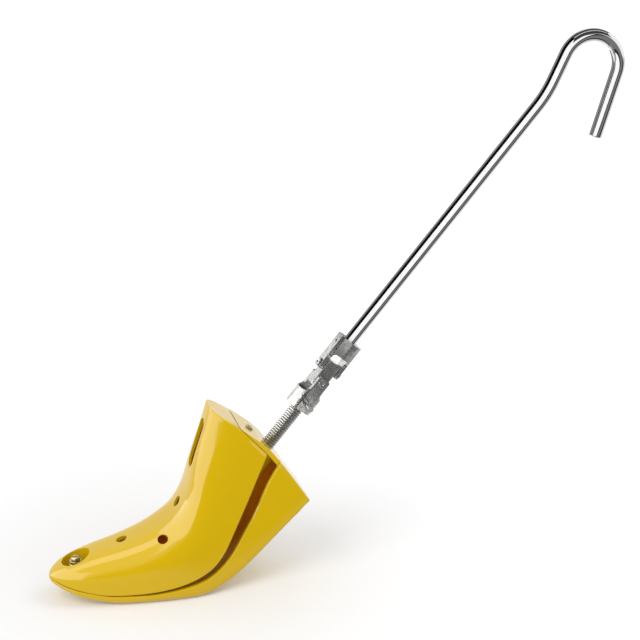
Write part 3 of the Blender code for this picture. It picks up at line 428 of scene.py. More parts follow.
def nearest_on(points, line):
    """Nearest places on a side-view polyline, and signed distances, positive on its left."""
    best = np.full(len(points), np.inf)
    signed = np.zeros(len(points))
    nearest = np.zeros((len(points), 2))
    for a, b in zip(line, line[1:]):
        run = b - a
        t = np.clip(((points - a) @ run) / (run @ run), 0.0, 1.0)
        foot = a + t[:, None] * run
        away = points - foot
        distance = np.linalg.norm(away, axis=1)
        cross = run[0] * away[:, 1] - run[1] * away[:, 0]
        closer = distance < best
        best = np.where(closer, distance, best)
        signed = np.where(closer, np.sign(cross) * distance, signed)
        nearest = np.where(closer[:, None], foot, nearest)
    return nearest, signed


def spread_along(line, places):
    """Points of a polyline at places measured along it."""
    run = np.concatenate(([0.0], np.cumsum(np.linalg.norm(np.diff(line, axis=0), axis=1))))
    if callable(places):
        places = places(run[-1])
    return np.column_stack([np.interp(places, run, line[:, k]) for k in range(line.shape[1])])


def rim_places(length, count, crowding=1.0):
    """Places along a line: close together over its rounded rim, then evenly spread."""
    rim = min(RIM_ROUND, length / 4)
    turns = np.linspace(math.pi / 2, 0.0, RIM_STEPS + 1)
    shares = 1 - (1 - np.linspace(0.0, 1.0, count)) ** crowding
    return np.concatenate((rim * (1 - np.sin(turns)), rim + (length - rim) * shares[1:]))


def crossing(points, signed, i):
    """Point just before point i where a line passes from one side to the other."""
    t = signed[i - 1] / (signed[i - 1] - signed[i])
    return points[i - 1] + (points[i] - points[i - 1]) * t


def half_skin(parting, keep_left, top, first, corner):
    """Near half of a moulded skin: rows of points from the toe to the top, rims rounded."""
    stations = np.linspace(first, len(STATION_SHARES) - 1, STATION_SAMPLES)
    arcs = []
    for u in stations:
        outline = section(u)
        signed = nearest_on(outline[:, (0, 2)], parting)[1]
        if not keep_left:
            outline, signed = outline[::-1], -signed[::-1]
        start = int(np.argmax(signed > 0))
        if start > 0:
            outline = np.vstack((crossing(outline, signed, start), outline[start:]))
        arcs.append(spread_along(outline, lambda length: rim_places(length, ROUND_THE_SIDE)))
    arcs = np.array(arcs)
    rows = []
    for k in range(arcs.shape[1]):
        lengthwise = arcs[:, k]
        signed = nearest_on(lengthwise[:, (0, 2)], top)[1]
        end = int(np.argmax(signed > 0))
        kept = np.vstack((lengthwise[:end], crossing(lengthwise, signed, end)))[::-1]
        rows.append(spread_along(kept, lambda length: rim_places(length, ALONG_STEPS, TOE_CROWDING))[::-1])
    skin = np.array(rows).transpose(1, 0, 2)
    nearest = int(np.argmin(np.linalg.norm(skin[-1][:, (0, 2)] - corner, axis=1)))
    skin[-1, nearest, (0, 2)] = corner
    return rounded_rims(skin, parting, top)


def rounded_rims(skin, parting, top):
    """Draw the skin in along its parting and its top by quarter rounds."""
    along = np.gradient(skin, axis=0)
    around = np.gradient(skin, axis=1)
    inward = np.cross(along, around)
    inward /= np.maximum(np.linalg.norm(inward, axis=2, keepdims=True), WELD**2)
    middle = skin.mean(axis=1, keepdims=True) * np.array((1.0, 0.0, 1.0))
    inward *= np.sign(np.sum(inward * (middle - skin), axis=2, keepdims=True))
    across_run = np.linalg.norm(np.diff(skin, axis=1), axis=2)
    from_parting = np.concatenate((np.zeros((len(skin), 1)), np.cumsum(across_run, axis=1)), axis=1)
    along_run = np.linalg.norm(np.diff(skin, axis=0), axis=2)[::-1]
    from_top = np.concatenate((np.zeros((1, skin.shape[1])), np.cumsum(along_run, axis=0)))[::-1]
    drawn = np.zeros(skin.shape[:2])
    for distance, room in ((from_parting, from_parting[:, -1:]), (from_top, from_top[:1])):
        radius = np.minimum(RIM_ROUND, room / 4)
        short = np.clip(radius - distance, 0.0, radius)
        drawn += radius - np.sqrt(np.maximum(radius**2 - short**2, 0.0))
    skin = skin + inward * drawn[:, :, None]
    skin[:, 0, (0, 2)] = nearest_on(skin[:, 0, (0, 2)], parting)[0]
    skin[-1][:, (0, 2)] = nearest_on(skin[-1][:, (0, 2)], top)[0]
    skin[:, -1, 1] = 0.0
    return skin


def inset_skin(inset):
    """Near half of a skin inside the last's own, from the first cavity station to the top."""
    stations = np.linspace(FIRST_CAVITY_STATION, len(STATION_SHARES) - 1, ALONG_STEPS)
    evenly = np.linspace(0.0, 1.0, ROUND_THE_SIDE)
    return np.array([spread_along(section(u, inset), lambda length: evenly * length) for u in stations])


def faced_out(made):
    """The same bmesh, its faces turned outward."""
    bmesh.ops.recalc_face_normals(made, faces=made.faces)
    return made


def verts_of(items):
    """The vertices in a mixed list."""
    return [item for item in items if isinstance(item, bmesh.types.BMVert)]


def closed_skin(points):
    """Closed solid from half a skin: rims run straight in to the middle, then mirrored."""
    made = bmesh.new()
    rows, columns = points.shape[:2]
    bmesh.ops.create_grid(made, x_segments=rows - 1, y_segments=columns - 1, size=0.5)
    order = sorted(made.verts, key=lambda vertex: (round(vertex.co.x, 6), round(vertex.co.y, 6)))
    for vertex, point in zip(order, points.reshape(-1, 3)):
        vertex.co = point
    open_rim = [
        edge for edge in made.edges
        if edge.is_boundary and any(abs(vertex.co.y) > WELD for vertex in edge.verts)
    ]
    for vertex in verts_of(bmesh.ops.extrude_edge_only(made, edges=open_rim)["geom"]):
        vertex.co.y = 0.0
    bmesh.ops.remove_doubles(made, verts=made.verts, dist=WELD)
    everything = made.verts[:] + made.edges[:] + made.faces[:]
    bmesh.ops.mirror(made, geom=everything, axis="Y", merge_dist=WELD)
    return faced_out(made)


def prism(outline, half_width):
    """Solid with a side-view outline, ruled across the last."""
    made = bmesh.new()
    made.faces.new([made.verts.new((x, -half_width, z)) for x, z in outline])
    grown = bmesh.ops.extrude_face_region(made, geom=made.faces[:])
    bmesh.ops.translate(made, verts=verts_of(grown["geom"]), vec=(0.0, 2 * half_width, 0.0))
    return faced_out(made)


def bar(width, start, end, matrix, steps=DRILL_STEPS, length=0.0):
    """Round bar along the Z of a place, or a slot's outline with its long way along X."""
    made = bmesh.new()
    bmesh.ops.create_cone(
        made, cap_ends=True, segments=steps, radius1=width / 2, radius2=width / 2, depth=end - start)
    bmesh.ops.translate(made, verts=made.verts, vec=(0.0, 0.0, (start + end) / 2))
    for vertex in made.verts if length else ():
        vertex.co.x += math.copysign((length - width) / 2, vertex.co.x)
    return moved(made, matrix)


def upright(point):
    """Full point from a side-view one."""
    return Vector((point[0], 0.0, point[1]))


def at(spot, lean=0.0, roll=0.0):
    """Matrix of a place, from a side-view point or a full one, leant about Y or rolled about X."""
    full = Vector(spot) if len(spot) == 3 else upright(spot)
    return Matrix.Translation(full) @ Euler((roll, lean, 0.0)).to_matrix().to_4x4()


def combined(body, tools, operation, finishes, lining=0):
    """Cut, join or clip a solid with others; new faces take the finish numbered lining."""
    target = plain_object("target", body, finishes)
    helpers = [target]
    for number, tool in enumerate(tools):
        for face in tool.faces:
            face.material_index = lining
        helper = plain_object(f"tool_{number}", tool, finishes)
        step = target.modifiers.new(helper.name, "BOOLEAN")
        step.operation = operation
        step.object = helper
        step.solver = "EXACT"
        step.material_mode = "TRANSFER"
        helpers.append(helper)
    bpy.context.view_layer.update()
    shown = target.evaluated_get(bpy.context.evaluated_depsgraph_get())
    made = bmesh.new()
    made.from_mesh(shown.data)
    for helper in helpers:
        bpy.data.objects.remove(helper)
    return made


def piece(name, made, finishes, body, nodes, sharp=SHARP_ANGLE):
    """Finished piece from a bmesh: shaded, dressed, and riding on its body."""
    placed = plain_object(name, made, finishes)
    placed.data.shade_smooth()
    placed.data.set_sharp_from_angle(angle=sharp)
    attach(placed, body)
    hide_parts(*nodes)
    return placed


# Finishes: their scales are features to a metre, and each pair is where an effect starts and ends
PATCH_CONTRAST = 2.4
GRAIN_CONTRAST = 3.0
EDGE_LIKENESS = (0.995, 0.90)
EDGE_BREAKS = (0.35, 0.60)
EDGE_LEAST = 0.3
SCRATCH_SCALE = 420.0
SCRATCH_WIDTH = 0.006
SCRATCH_SHARE = 0.22
SCRATCH_STRETCH = 12.0
SCRATCH_TURNS = ((0.4, 0.9, 0.2), (1.9, 0.3, 1.1))
SCRATCH_PLACES_SCALE = 130.0
SCRATCH_PLACES = (0.54, 0.64)


def noise(tree, scale, detail, spot=None, **more):
    """Cloudy noise at the object's own points."""
    if spot is None:
        spot = node(tree, "TexCoord").outputs["Object"]
    return node(tree, "TexNoise", Vector=spot, Scale=scale, Detail=detail, **more)


patches, scale, contrast = effect("patches", "Value", "Scale", "Contrast")
off_middle = maths(patches, "SUBTRACT", noise(patches, scale, 4.0, Roughness=0.6), 0.5)
give(patches, maths(patches, "MULTIPLY_ADD", off_middle, contrast, 0.5, clamp=True))

relief, fine_scale, fine_height, wave_scale, wave_height = effect(
    "relief", "Height", "Fine Scale", "Fine Height", "Wave Scale", "Wave Height")
fine = maths(relief, "MULTIPLY", noise(relief, fine_scale, 2.0), fine_height)
give(relief, maths(relief, "MULTIPLY_ADD", noise(relief, wave_scale, 0.0), wave_height, fine))

# Edges found with the Bevel node and broken by noise; the finish lightens them as wear and as a painted
# highlight on the rims
edge_wear_and_highlight, edge_reach, breaks = effect("edge_wear_and_highlight", "Edge", "Reach", "Breaks")
rounded = node(edge_wear_and_highlight, "Bevel", _samples=6, Radius=edge_reach)
flat = node(edge_wear_and_highlight, "NewGeometry").outputs["Normal"]
likeness = node(edge_wear_and_highlight, "VectorMath", _operation="DOT_PRODUCT", i0=rounded, i1=flat)
edge = ranged(edge_wear_and_highlight, likeness.outputs["Value"], *EDGE_LIKENESS)
kept = ranged(edge_wear_and_highlight, noise(edge_wear_and_highlight, breaks, 3.0), *EDGE_BREAKS, EDGE_LEAST)
give(edge_wear_and_highlight, maths(edge_wear_and_highlight, "MULTIPLY", edge, kept))

# Fine scratches: thin level lines of a stretched noise, in two directions, only here and there
scratches, scale, width = effect("scratches", "Scratch", "Scale", "Width")
spot = node(scratches, "TexCoord").outputs["Object"]
strokes = []
for turn in SCRATCH_TURNS:
    stretched = node(scratches, "Mapping", _vector_type="TEXTURE", Vector=spot, Rotation=turn,
                     Scale=(1.0, 1.0, SCRATCH_STRETCH))
    off_middle = maths(scratches, "SUBTRACT", noise(scratches, scale, 1.0, stretched), 0.5)
    strokes.append(ranged(scratches, maths(scratches, "ABSOLUTE", off_middle), 0.0, width, 1.0, 0.0))
some = ranged(scratches, noise(scratches, SCRATCH_PLACES_SCALE, 1.0, spot), *SCRATCH_PLACES)
give(scratches, maths(scratches, "MULTIPLY", maths(scratches, "MAXIMUM", *strokes), some))


def blended(tree, share, first, second):
    """Mix of two colours, and its output."""
    colours = [(*colour, 1.0) if isinstance(colour, tuple) else colour for colour in (first, second)]
    return node(tree, "Mix", _data_type="RGBA", i0=share, i6=colours[0], i7=colours[1]).outputs[2]


def finish(name, light, deep, wear_and_highlight_colour, smooth, rough, metallic, patch_scale, grain, waves, edge_reach):
    """Material with patches between two colours, edges lightened as wear and as painted highlight, scratches
    and relief, and its shader.
    """
    made = bpy.data.materials.new(name)
    made.use_nodes = True
    tree = made.node_tree
    shader = tree.nodes["Principled BSDF"]
    shader.inputs["Metallic"].default_value = metallic
    cloud = node(tree, patches, Scale=patch_scale, Contrast=PATCH_CONTRAST)
    speck = node(tree, patches, Scale=grain[0], Contrast=GRAIN_CONTRAST)
    dulled = node(tree, "Mix", i0=0.5, i2=cloud, i3=speck)
    edge = node(tree, edge_wear_and_highlight, Reach=edge_reach, Breaks=SCRATCH_SCALE)
    stroke = node(tree, scratches, Scale=SCRATCH_SCALE, Width=SCRATCH_WIDTH)
    scratched = maths(tree, "MULTIPLY", stroke, SCRATCH_SHARE)
    lined = blended(tree, scratched, blended(tree, dulled, light, deep), wear_and_highlight_colour)
    tree.links.new(blended(tree, edge, lined, wear_and_highlight_colour), shader.inputs["Base Color"])
    gloss = ranged(tree, dulled, 0.0, 1.0, smooth, rough)
    scuffed = maths(tree, "MULTIPLY_ADD", stroke, SCRATCH_SHARE / 2, gloss, clamp=True)
    tree.links.new(scuffed.outputs[0], shader.inputs["Roughness"])
    height = node(tree, relief, Fine_Scale=grain[0], Fine_Height=grain[1], Wave_Scale=waves[0],
                  Wave_Height=waves[1])
    bump = node(tree, "Bump", Strength=1.0, Distance=1.0, Height=height)
    tree.links.new(bump.outputs[0], shader.inputs["Normal"])
    return made, shader


# Each finish: two colours, and that of its scratches and its edges (edges lightened as wear and as
# painted highlight), smoothest and roughest, metallic or not, patches per metre, fine grain per metre
# and its height, waves per metre and their height, edges
yellow_gloss, _ = finish(
    "yellow_gloss", (0.760, 0.505, 0.003), (0.715, 0.462, 0.0015), (0.86, 0.66, 0.13), 0.07, 0.15, 0.0,
    26.0, (1900.0, 0.0000012), (170.0, 0.000012), 0.0006)
yellow_inner, inner_shader = finish(
    "yellow_inner", (0.80, 0.50, 0.018), (0.72, 0.42, 0.012), (0.84, 0.56, 0.04), 0.38, 0.55, 0.0,
    60.0, (1300.0, 0.000010), (120.0, 0.00003), 0.0005)
inner_shader.inputs["Subsurface Weight"].default_value = 1.0
inner_shader.inputs["Subsurface Radius"].default_value = WALL_GLOW
inner_shader.inputs["Subsurface Scale"].default_value = WALL_GLOW_REACH
yellow_finishes = [yellow_gloss, yellow_inner]

peak, guide_start = place(PEAK_SHARES), place(GUIDE_START_SHARES)
lower_bend, heel_corner = place(LOWER_BEND_SHARES), place(HEEL_CORNER_SHARES)
upper_edge, lower_edge = edge_line(UPPER_EDGE_SHARES), edge_line(LOWER_EDGE_SHARES)
entry = place(ENTRY_SHARES)
rod_up = np.array((math.sin(ROD_LEAN), math.cos(ROD_LEAN)))
reach = LAST_LENGTH


def drawn_in(line, depth):
    """Open outline moved down and forward by a depth, square to its own run."""
    drawn = []
    for i, point in enumerate(line):
        run = line[min(i + 1, len(line) - 1)] - line[max(i - 1, 0)]
        inward = np.array((run[1], -run[0])) / np.linalg.norm(run)
        drawn.append(point + (inward if inward[1] <= 0 else -inward) * depth)
    return drawn


def inner_hollow():
    """Solid of the room inside both halves."""
    front_roof = drawn_in([beyond(peak, guide_start, reach), guide_start], WALL)
    far_heel = beyond(heel_corner, lower_bend, reach)
    limits = prism([
        *front_roof, *drawn_in([guide_start, upper_edge[-1]], GUIDE_SHELF),
        *drawn_in([lower_edge[-1], lower_bend, far_heel], WALL), (far_heel[0], -reach), (-reach, -reach),
        (-reach, front_roof[0][1]),
    ], LAST_WIDTH)
    return combined(closed_skin(inset_skin(WALL)), [limits], "INTERSECT", [])


hollow = inner_hollow()
upper_top = run_on(np.array((peak, guide_start, upper_edge[-1])), reach / 4)
upper_skin = half_skin(
    run_on(upper_edge, reach / 4), True, upper_top, UPPER_FIRST_STATION, guide_start)
toe_x = TOE_BORE_SHARE * LAST_LENGTH
toe_floor = np.interp(toe_x, upper_edge[:, 0], upper_edge[:, 1]) + TOE_FLOOR
spindle_place = at(entry, ROD_LEAN)
screw_place = at(place(SCREW_SEAT_SHARES), SCREW_LEAN)
screw_hole = (SCREW_WIDTH + 2 * GAP, -SCREW_LENGTH - GAP, OVERRUN, screw_place)
holes = [
    bar(BOSS_WIDTH + 2 * GAP, -BOSS_LENGTH - OVERRUN, OVERRUN, spindle_place),
    bar(TOE_BORE_WIDTH, 0.0, OVERRUN, at((toe_x, toe_floor))),
    bar(TOE_FLOOR_HOLE_WIDTH, -OVERRUN, OVERRUN, at((toe_x, toe_floor))),
    bar(*screw_hole),
    bar(SLOT_WIDTH, -HOLE_DEPTH, OVERRUN, at(place(SLOT_SHARES), SLOT_LEAN - math.pi / 2),
        length=SLOT_LENGTH),
]
for side in (-1, 1):
    x, z = place(SIDE_HOLE_SHARES)
    mouth = at((x, side * SIDE_HOLE_SPREAD_SHARE * LAST_WIDTH, z),
               roll=-side * (math.pi / 2 - SIDE_HOLE_SLOPE))
    holes.append(bar(SIDE_HOLE_WIDTH, -HOLE_DEPTH, OVERRUN, mouth))
for *shares, slope in CREST_HOLES_SHARES:
    holes.append(bar(CREST_HOLE_WIDTH, -HOLE_DEPTH, OVERRUN, at(place(shares), -math.radians(slope))))
upper_shell = combined(closed_skin(upper_skin), [hollow.copy()], "DIFFERENCE", yellow_finishes, 1)
upper_shell = combined(upper_shell, holes, "DIFFERENCE", yellow_finishes, 0)
piece("instep_shell", upper_shell, yellow_finishes, "instep_half", ["upper_last"])


# The lower half of the last: sole and heel wedge in the same yellow plastic, moulded hollow.
# A slanted ramp inside carries the thrust plate, and a nut for the toe screw sits below.
PLATE_THICKNESS = 0.002
PLATE_LENGTH = 0.023
PLATE_WIDTH = 0.025
PLATE_SHIFT = 0.0045
RAMP_RISE = 0.00437
TOE_SCREW_WIDTH = 0.0045
TOE_NUT_FLATS = 0.0080
TOE_NUT_HEIGHT = 0.0025
TOE_NUT_RECESS = 0.0006

lower_top = run_on(np.array((lower_edge[-1], lower_bend, heel_corner)), reach / 4)
lower_skin = half_skin(run_on(lower_edge, reach / 4), False, lower_top, 0.0, lower_bend)
across_rod = np.array((math.cos(ROD_LEAN), -math.sin(ROD_LEAN)))
ramp_corner = across_rod * (PLATE_LENGTH / 2 - PLATE_SHIFT) - rod_up * (PLATE_THICKNESS + GAP)
thrust_reach = (entry[1] + ramp_corner[1] - WALL - RAMP_RISE) / rod_up[1]
plate_middle = entry - rod_up * thrust_reach - across_rod * PLATE_SHIFT
ramp_face = plate_middle - rod_up * (PLATE_THICKNESS + GAP)
ramp_high, ramp_low = (ramp_face + across_rod * side * PLATE_LENGTH / 2 for side in (-1, 1))
ramp = prism([(ramp_high[0], WALL / 2), (ramp_low[0], WALL / 2), ramp_low, ramp_high], PLATE_WIDTH / 2)
sole_z = np.interp(TOE_BORE_SHARE, STATION_SHARES[:, 0], STATION_SHARES[:, 1]) * LAST_HEIGHT
nut_bottom = sole_z + TOE_NUT_RECESS
nut_top = nut_bottom + TOE_NUT_HEIGHT


def hexagon(flats, start, end, matrix):
    """Hexagonal bar along the Z of a place, a flat facing its X."""
    quarter_turn = Matrix.Rotation(math.pi / 6, 4, "Z")
    return bar(flats / math.cos(math.pi / 6), start, end, matrix @ quarter_turn, steps=6)


sole_shell = combined(closed_skin(lower_skin), [hollow], "DIFFERENCE", yellow_finishes, 1)
sole_shell = combined(sole_shell, [ramp], "UNION", yellow_finishes, 1)
sole_shell = combined(sole_shell, [
    bar(TOE_SCREW_WIDTH + 2 * GAP, -OVERRUN, OVERRUN, at((toe_x, nut_top))),
    hexagon(TOE_NUT_FLATS + 2 * GAP, nut_bottom - OVERRUN, nut_top + GAP, at((toe_x, 0.0))),
], "DIFFERENCE", yellow_finishes, 0)
piece("sole_shell", sole_shell, yellow_finishes, "sole_half", ["lower_last"])


# The guide: a yellow moulding that sits on the upper half's shelf and is held there by a screw.
# It bridges the parting at the ankle top; its boss reaches inside, and holds the spindle nut.
GUIDE_STEP = 0.0008
GUIDE_END_INSET = 0.0032
GUIDE_CROWN_SHARES = ((0.469, 0.811), (0.506, 0.760), (0.541, 0.697))
GUIDE_BORE_WIDTH = 0.0108
BOSS_EDGE_ROWS = 3
NUT_FLATS = 0.014
NUT_TOP = 0.0135

crown = [place(share) for share in GUIDE_CROWN_SHARES]
last_run = lower_edge[-1] - lower_edge[-1 - EDGE_STEPS]
last_run /= np.linalg.norm(last_run)
clear_of_heel = np.array((-last_run[1], last_run[0])) * GAP
end_high = crown[-1] + clear_of_heel
seat = drawn_in([guide_start, upper_edge[-1]], -GAP)
guide_outline = [
    seat[0], crown[0], crown[1], end_high,
    lower_edge[-1] + clear_of_heel - last_run * GUIDE_END_INSET, seat[1],
]
boss_front = lower_edge[-(BOSS_EDGE_ROWS * EDGE_STEPS + 1):]
boss_keep = prism([
    *[point + clear_of_heel for point in boss_front], end_high, crown[1], crown[0], seat[0],
    (seat[0][0] - reach, boss_front[0][1]),
], LAST_WIDTH)
boss = combined(bar(BOSS_WIDTH, -BOSS_LENGTH, 0.0, spindle_place), [boss_keep], "INTERSECT", [])
guide_body = closed_skin(inset_skin(GUIDE_STEP))
guide = combined(guide_body, [prism(guide_outline, LAST_WIDTH)], "INTERSECT", [yellow_gloss])
guide = combined(guide, [boss], "UNION", [yellow_gloss])
guide = combined(guide, [
    bar(GUIDE_BORE_WIDTH, -BOSS_LENGTH - OVERRUN, OVERRUN, spindle_place),
    hexagon(NUT_FLATS + 2 * GAP, -BOSS_LENGTH - OVERRUN, GAP - NUT_TOP, spindle_place),
    bar(*screw_hole),
], "DIFFERENCE", [yellow_gloss])
piece("ankle_guide", guide, [yellow_gloss], "instep_half", ["top_guide"])


# The guide's screw: a zinc-plated pan head with a cross recess, driven through the guide into
# the upper half.
PAN_HEAD_WIDTH = 0.0058
PAN_HEAD_HEIGHT = 0.0013
PAN_CORNER = 0.0008
CROSS_WIDTH = 0.0009
CROSS_REACH = 0.0038
CROSS_DEPTH = 0.0009
CROSS_TURNS = (math.radians(30.0), math.radians(120.0))
TURNING_STEPS = 64
CORNER_STEPS = 5


def eased(corners, radius):
    """Outline with its inner corners rounded."""
    corners = [np.array(corner, dtype=float) for corner in corners]
    outline = [corners[0]]
    for before, corner, after in zip(corners, corners[1:], corners[2:]):
        runs = [near - corner for near in (before, after)]
        cut = min(radius, *(np.linalg.norm(run) / 2 for run in runs))
        start, end = (corner + run / np.linalg.norm(run) * cut for run in runs)
        for t in np.linspace(0.0, 1.0, CORNER_STEPS + 1):
            outline.append((1 - t) ** 2 * start + 2 * t * (1 - t) * corner + t**2 * end)
    return [*outline, corners[-1]]


def turned(profile, matrix, steps=TURNING_STEPS):
    """Solid turned about the Z of a place, from an outline of radius and height."""
    made = bmesh.new()
    points = [made.verts.new((radius, 0.0, height)) for radius, height in profile]
    edges = [made.edges.new(pair) for pair in zip(points, points[1:])]
    bmesh.ops.spin(made, geom=points + edges, cent=(0.0, 0.0, 0.0), axis=(0.0, 0.0, 1.0),
                   angle=2 * math.pi, steps=steps, use_merge=True)
    bmesh.ops.remove_doubles(made, verts=made.verts, dist=WELD)
    return moved(faced_out(made), matrix)


def stepped(top, *steps, rounding):
    """Outline of a stepped pin, from its top and each step's width and lower end, corners rounded."""
    outline = [(0.0, top)]
    for width, end in steps:
        outline += [(width / 2, outline[-1][1]), (width / 2, end)]
    return eased([*outline, (0.0, outline[-1][1])], rounding)


def block(low, high, matrix):
    """Box between two corners, in the axes of a place."""
    made = bmesh.new()
    bmesh.ops.create_cube(made, size=1.0)
    bmesh.ops.scale(made, verts=made.verts, vec=Vector(high) - Vector(low))
    bmesh.ops.translate(made, verts=made.verts, vec=(Vector(high) + Vector(low)) / 2)
    return moved(made, matrix)


zinc, _ = finish(
    "zinc_plate", (0.70, 0.71, 0.73), (0.47, 0.48, 0.50), (0.82, 0.82, 0.83), 0.22, 0.42, 1.0,
    420.0, (2600.0, 0.000006), (300.0, 0.000006), 0.0003)
pan_top = GAP + PAN_HEAD_HEIGHT
pan_head = turned(stepped(
    pan_top, (PAN_HEAD_WIDTH, GAP), (SCREW_WIDTH, -SCREW_LENGTH), rounding=PAN_CORNER), screw_place)
cross = [
    block((-CROSS_REACH / 2, -CROSS_WIDTH / 2, pan_top - CROSS_DEPTH),
          (CROSS_REACH / 2, CROSS_WIDTH / 2, pan_top + OVERRUN), screw_place @ Matrix.Rotation(turn, 4, "Z"))
    for turn in CROSS_TURNS
]
pan_head = combined(pan_head, cross, "DIFFERENCE", [zinc])
piece("guide_pan_screw", pan_head, [zinc], "instep_half", ["guide_screw"])


# The spindle: a steel bar with a rolled thread, ground to a plain tip where the thrust foot
# swivels, and pinned in the lower fork. Grease and dust darken the thread's root.
SPINDLE_WIDTH = 0.010
THREAD_PITCH = 0.0018
THREAD_DEPTH = 0.0009
THREAD_TOP = 0.0340
THREAD_LENGTH = 0.0738
THREAD_END_CHAMFER = 0.0012
THREAD_STEPS = 40
SPARE_TURNS = 3
# One turn of the thread: shares of the depth out from the root, and of the pitch
THREAD_SHARES = (
    (0.0, 0.0), (0.0, 0.06), (0.86, 0.29), (0.97, 0.32), (1.0, 0.36), (1.0, 0.64), (0.97, 0.68),
    (0.86, 0.71), (0.0, 0.94),
)
SHANK_WIDTH = 0.0076
TIP_WIDTH = 0.0060
FOOT_HEIGHT = 0.006
SOCKET_DEPTH = 0.0035
LOWER_FORK_START = 0.0346
FORK_FLOOR = 0.0127
FORK_CROSS_PIN = 0.0064
CROSS_PIN_WIDTH = 0.0034
COLLAR_WIDTH = 0.0195
GREASE = (0.060, 0.056, 0.050)
GREASE_SCALE = 500.0
GREASE_CONTRAST = 2.0
GREASE_DEPTHS = (0.55, 1.0)
GREASE_METALLIC = 0.2


def wound(made, outline, step_up, turns, steps):
    """The same bmesh, its outline wound up round Z and closed."""
    bmesh.ops.spin(made, geom=outline, cent=(0.0, 0.0, 0.0), axis=(0.0, 0.0, 1.0),
                   dvec=(0.0, 0.0, step_up), angle=2 * math.pi * turns, steps=steps * turns)
    bmesh.ops.remove_doubles(made, verts=made.verts, dist=WELD)
    bmesh.ops.holes_fill(made, edges=[edge for edge in made.edges if edge.is_boundary], sides=0)
    return faced_out(made)


thread_steel, shader = finish(
    "thread_steel", (0.66, 0.655, 0.64), (0.46, 0.45, 0.435), (0.80, 0.80, 0.79), 0.18, 0.36, 1.0,
    300.0, (2400.0, 0.000005), (200.0, 0.000006), 0.0002)
tree = thread_steel.node_tree
depth = node(tree, "Attribute", _attribute_name="groove")
film = node(tree, patches, Scale=GREASE_SCALE, Contrast=GREASE_CONTRAST)
greased = maths(tree, "MULTIPLY", ranged(tree, depth.outputs["Fac"], *GREASE_DEPTHS), film)
clean = shader.inputs["Base Color"].links[0].from_socket
tree.links.new(blended(tree, greased, clean, GREASE), shader.inputs["Base Color"])
cover = ranged(tree, greased, 0.0, 1.0, 1.0, GREASE_METALLIC)
tree.links.new(cover.outputs[0], shader.inputs["Metallic"])
thread_root = SPINDLE_WIDTH / 2 - THREAD_DEPTH
turns = round(THREAD_LENGTH / THREAD_PITCH) + SPARE_TURNS
thread = bmesh.new()
flank = [
    thread.verts.new((thread_root + THREAD_DEPTH * out, 0.0, THREAD_PITCH * up))
    for out, up in (*THREAD_SHARES, (0.0, 1.0))
]
flank_edges = [thread.edges.new(pair) for pair in zip(flank, flank[1:])]
wound(thread, flank + flank_edges, THREAD_PITCH / THREAD_STEPS, turns, THREAD_STEPS)
lowest = THREAD_TOP - (turns - 0.5) * THREAD_PITCH
bmesh.ops.translate(thread, verts=thread.verts, vec=(0.0, 0.0, lowest))
moved(thread, spindle_place)
thread_bottom = THREAD_TOP - THREAD_LENGTH
over_crest = SPINDLE_WIDTH / 2 + GAP
blank = turned((
    (0.0, THREAD_TOP), (over_crest - THREAD_END_CHAMFER, THREAD_TOP),
    (over_crest, THREAD_TOP - THREAD_END_CHAMFER), (over_crest, thread_bottom + THREAD_END_CHAMFER),
    (over_crest - THREAD_END_CHAMFER, thread_bottom), (0.0, thread_bottom),
), spindle_place)
foot_top = FOOT_HEIGHT - thrust_reach
shank_top = LOWER_FORK_START + FORK_FLOOR - GAP
shank = turned(stepped(
    shank_top, (SHANK_WIDTH, foot_top + 2 * GAP), (TIP_WIDTH, foot_top - SOCKET_DEPTH + GAP), rounding=GAP,
), spindle_place)


def across_fork(fork_place, height):
    """Place on a fork's axis, at a height, with its Z along the fork's pins."""
    return fork_place @ Matrix.Translation((0.0, 0.0, height)) @ Matrix.Rotation(math.pi / 2, 4, "X")


def pin_drill(width, height, fork_place):
    """Bar for a pin's hole across a fork."""
    return bar(width, -COLLAR_WIDTH, COLLAR_WIDTH, across_fork(fork_place, height))


lower_fork_place = spindle_place @ Matrix.Translation((0.0, 0.0, LOWER_FORK_START))
spindle = combined(thread, [blank], "INTERSECT", [thread_steel])
spindle = combined(spindle, [shank], "UNION", [thread_steel])
cross_drill = pin_drill(CROSS_PIN_WIDTH + 2 * GAP, FORK_CROSS_PIN, lower_fork_place)
spindle = combined(spindle, [cross_drill], "DIFFERENCE", [thread_steel])
axis_start, axis_run = upright(entry), upright(rod_up)
groove = spindle.verts.layers.float.new("groove")
for vertex in spindle.verts:
    off_axis = vertex.co - axis_start
    radius = (off_axis - off_axis.dot(axis_run) * axis_run).length
    vertex[groove] = min(max((SPINDLE_WIDTH / 2 - radius) / THREAD_DEPTH, 0.0), 1.0)
piece("lead_screw", spindle, [thread_steel], "spindle", ["threaded_spindle"])


# The two forks of the universal joint: turned steel collars, flattened and slotted to two ears,
# plated in satin nickel. A cross pin holds each on its bar and a rivet carries the link.
COLLAR_FLATS = 0.0176
FORK_LENGTH = 0.0276
FORK_SLOT = 0.0110
FORK_SLOT_CORNER = 0.0012
EAR_WIDTH = 0.0090
SHOULDER_HEIGHT = 0.0056
EAR_CORNER = 0.0022
FORK_PIVOT = 0.0243
FORK_EDGE_ROUND = 0.00045
PIVOT_SPACING = 0.0101
PIVOT_PIN_WIDTH = 0.0040
ROD_WIDTH = 0.0090
COLLAR_STEPS = 96
ROUND_SEGMENTS = 3
ROUND_FROM_ANGLE = math.radians(28.0)
FLAT_FACE_WEIGHT = 60

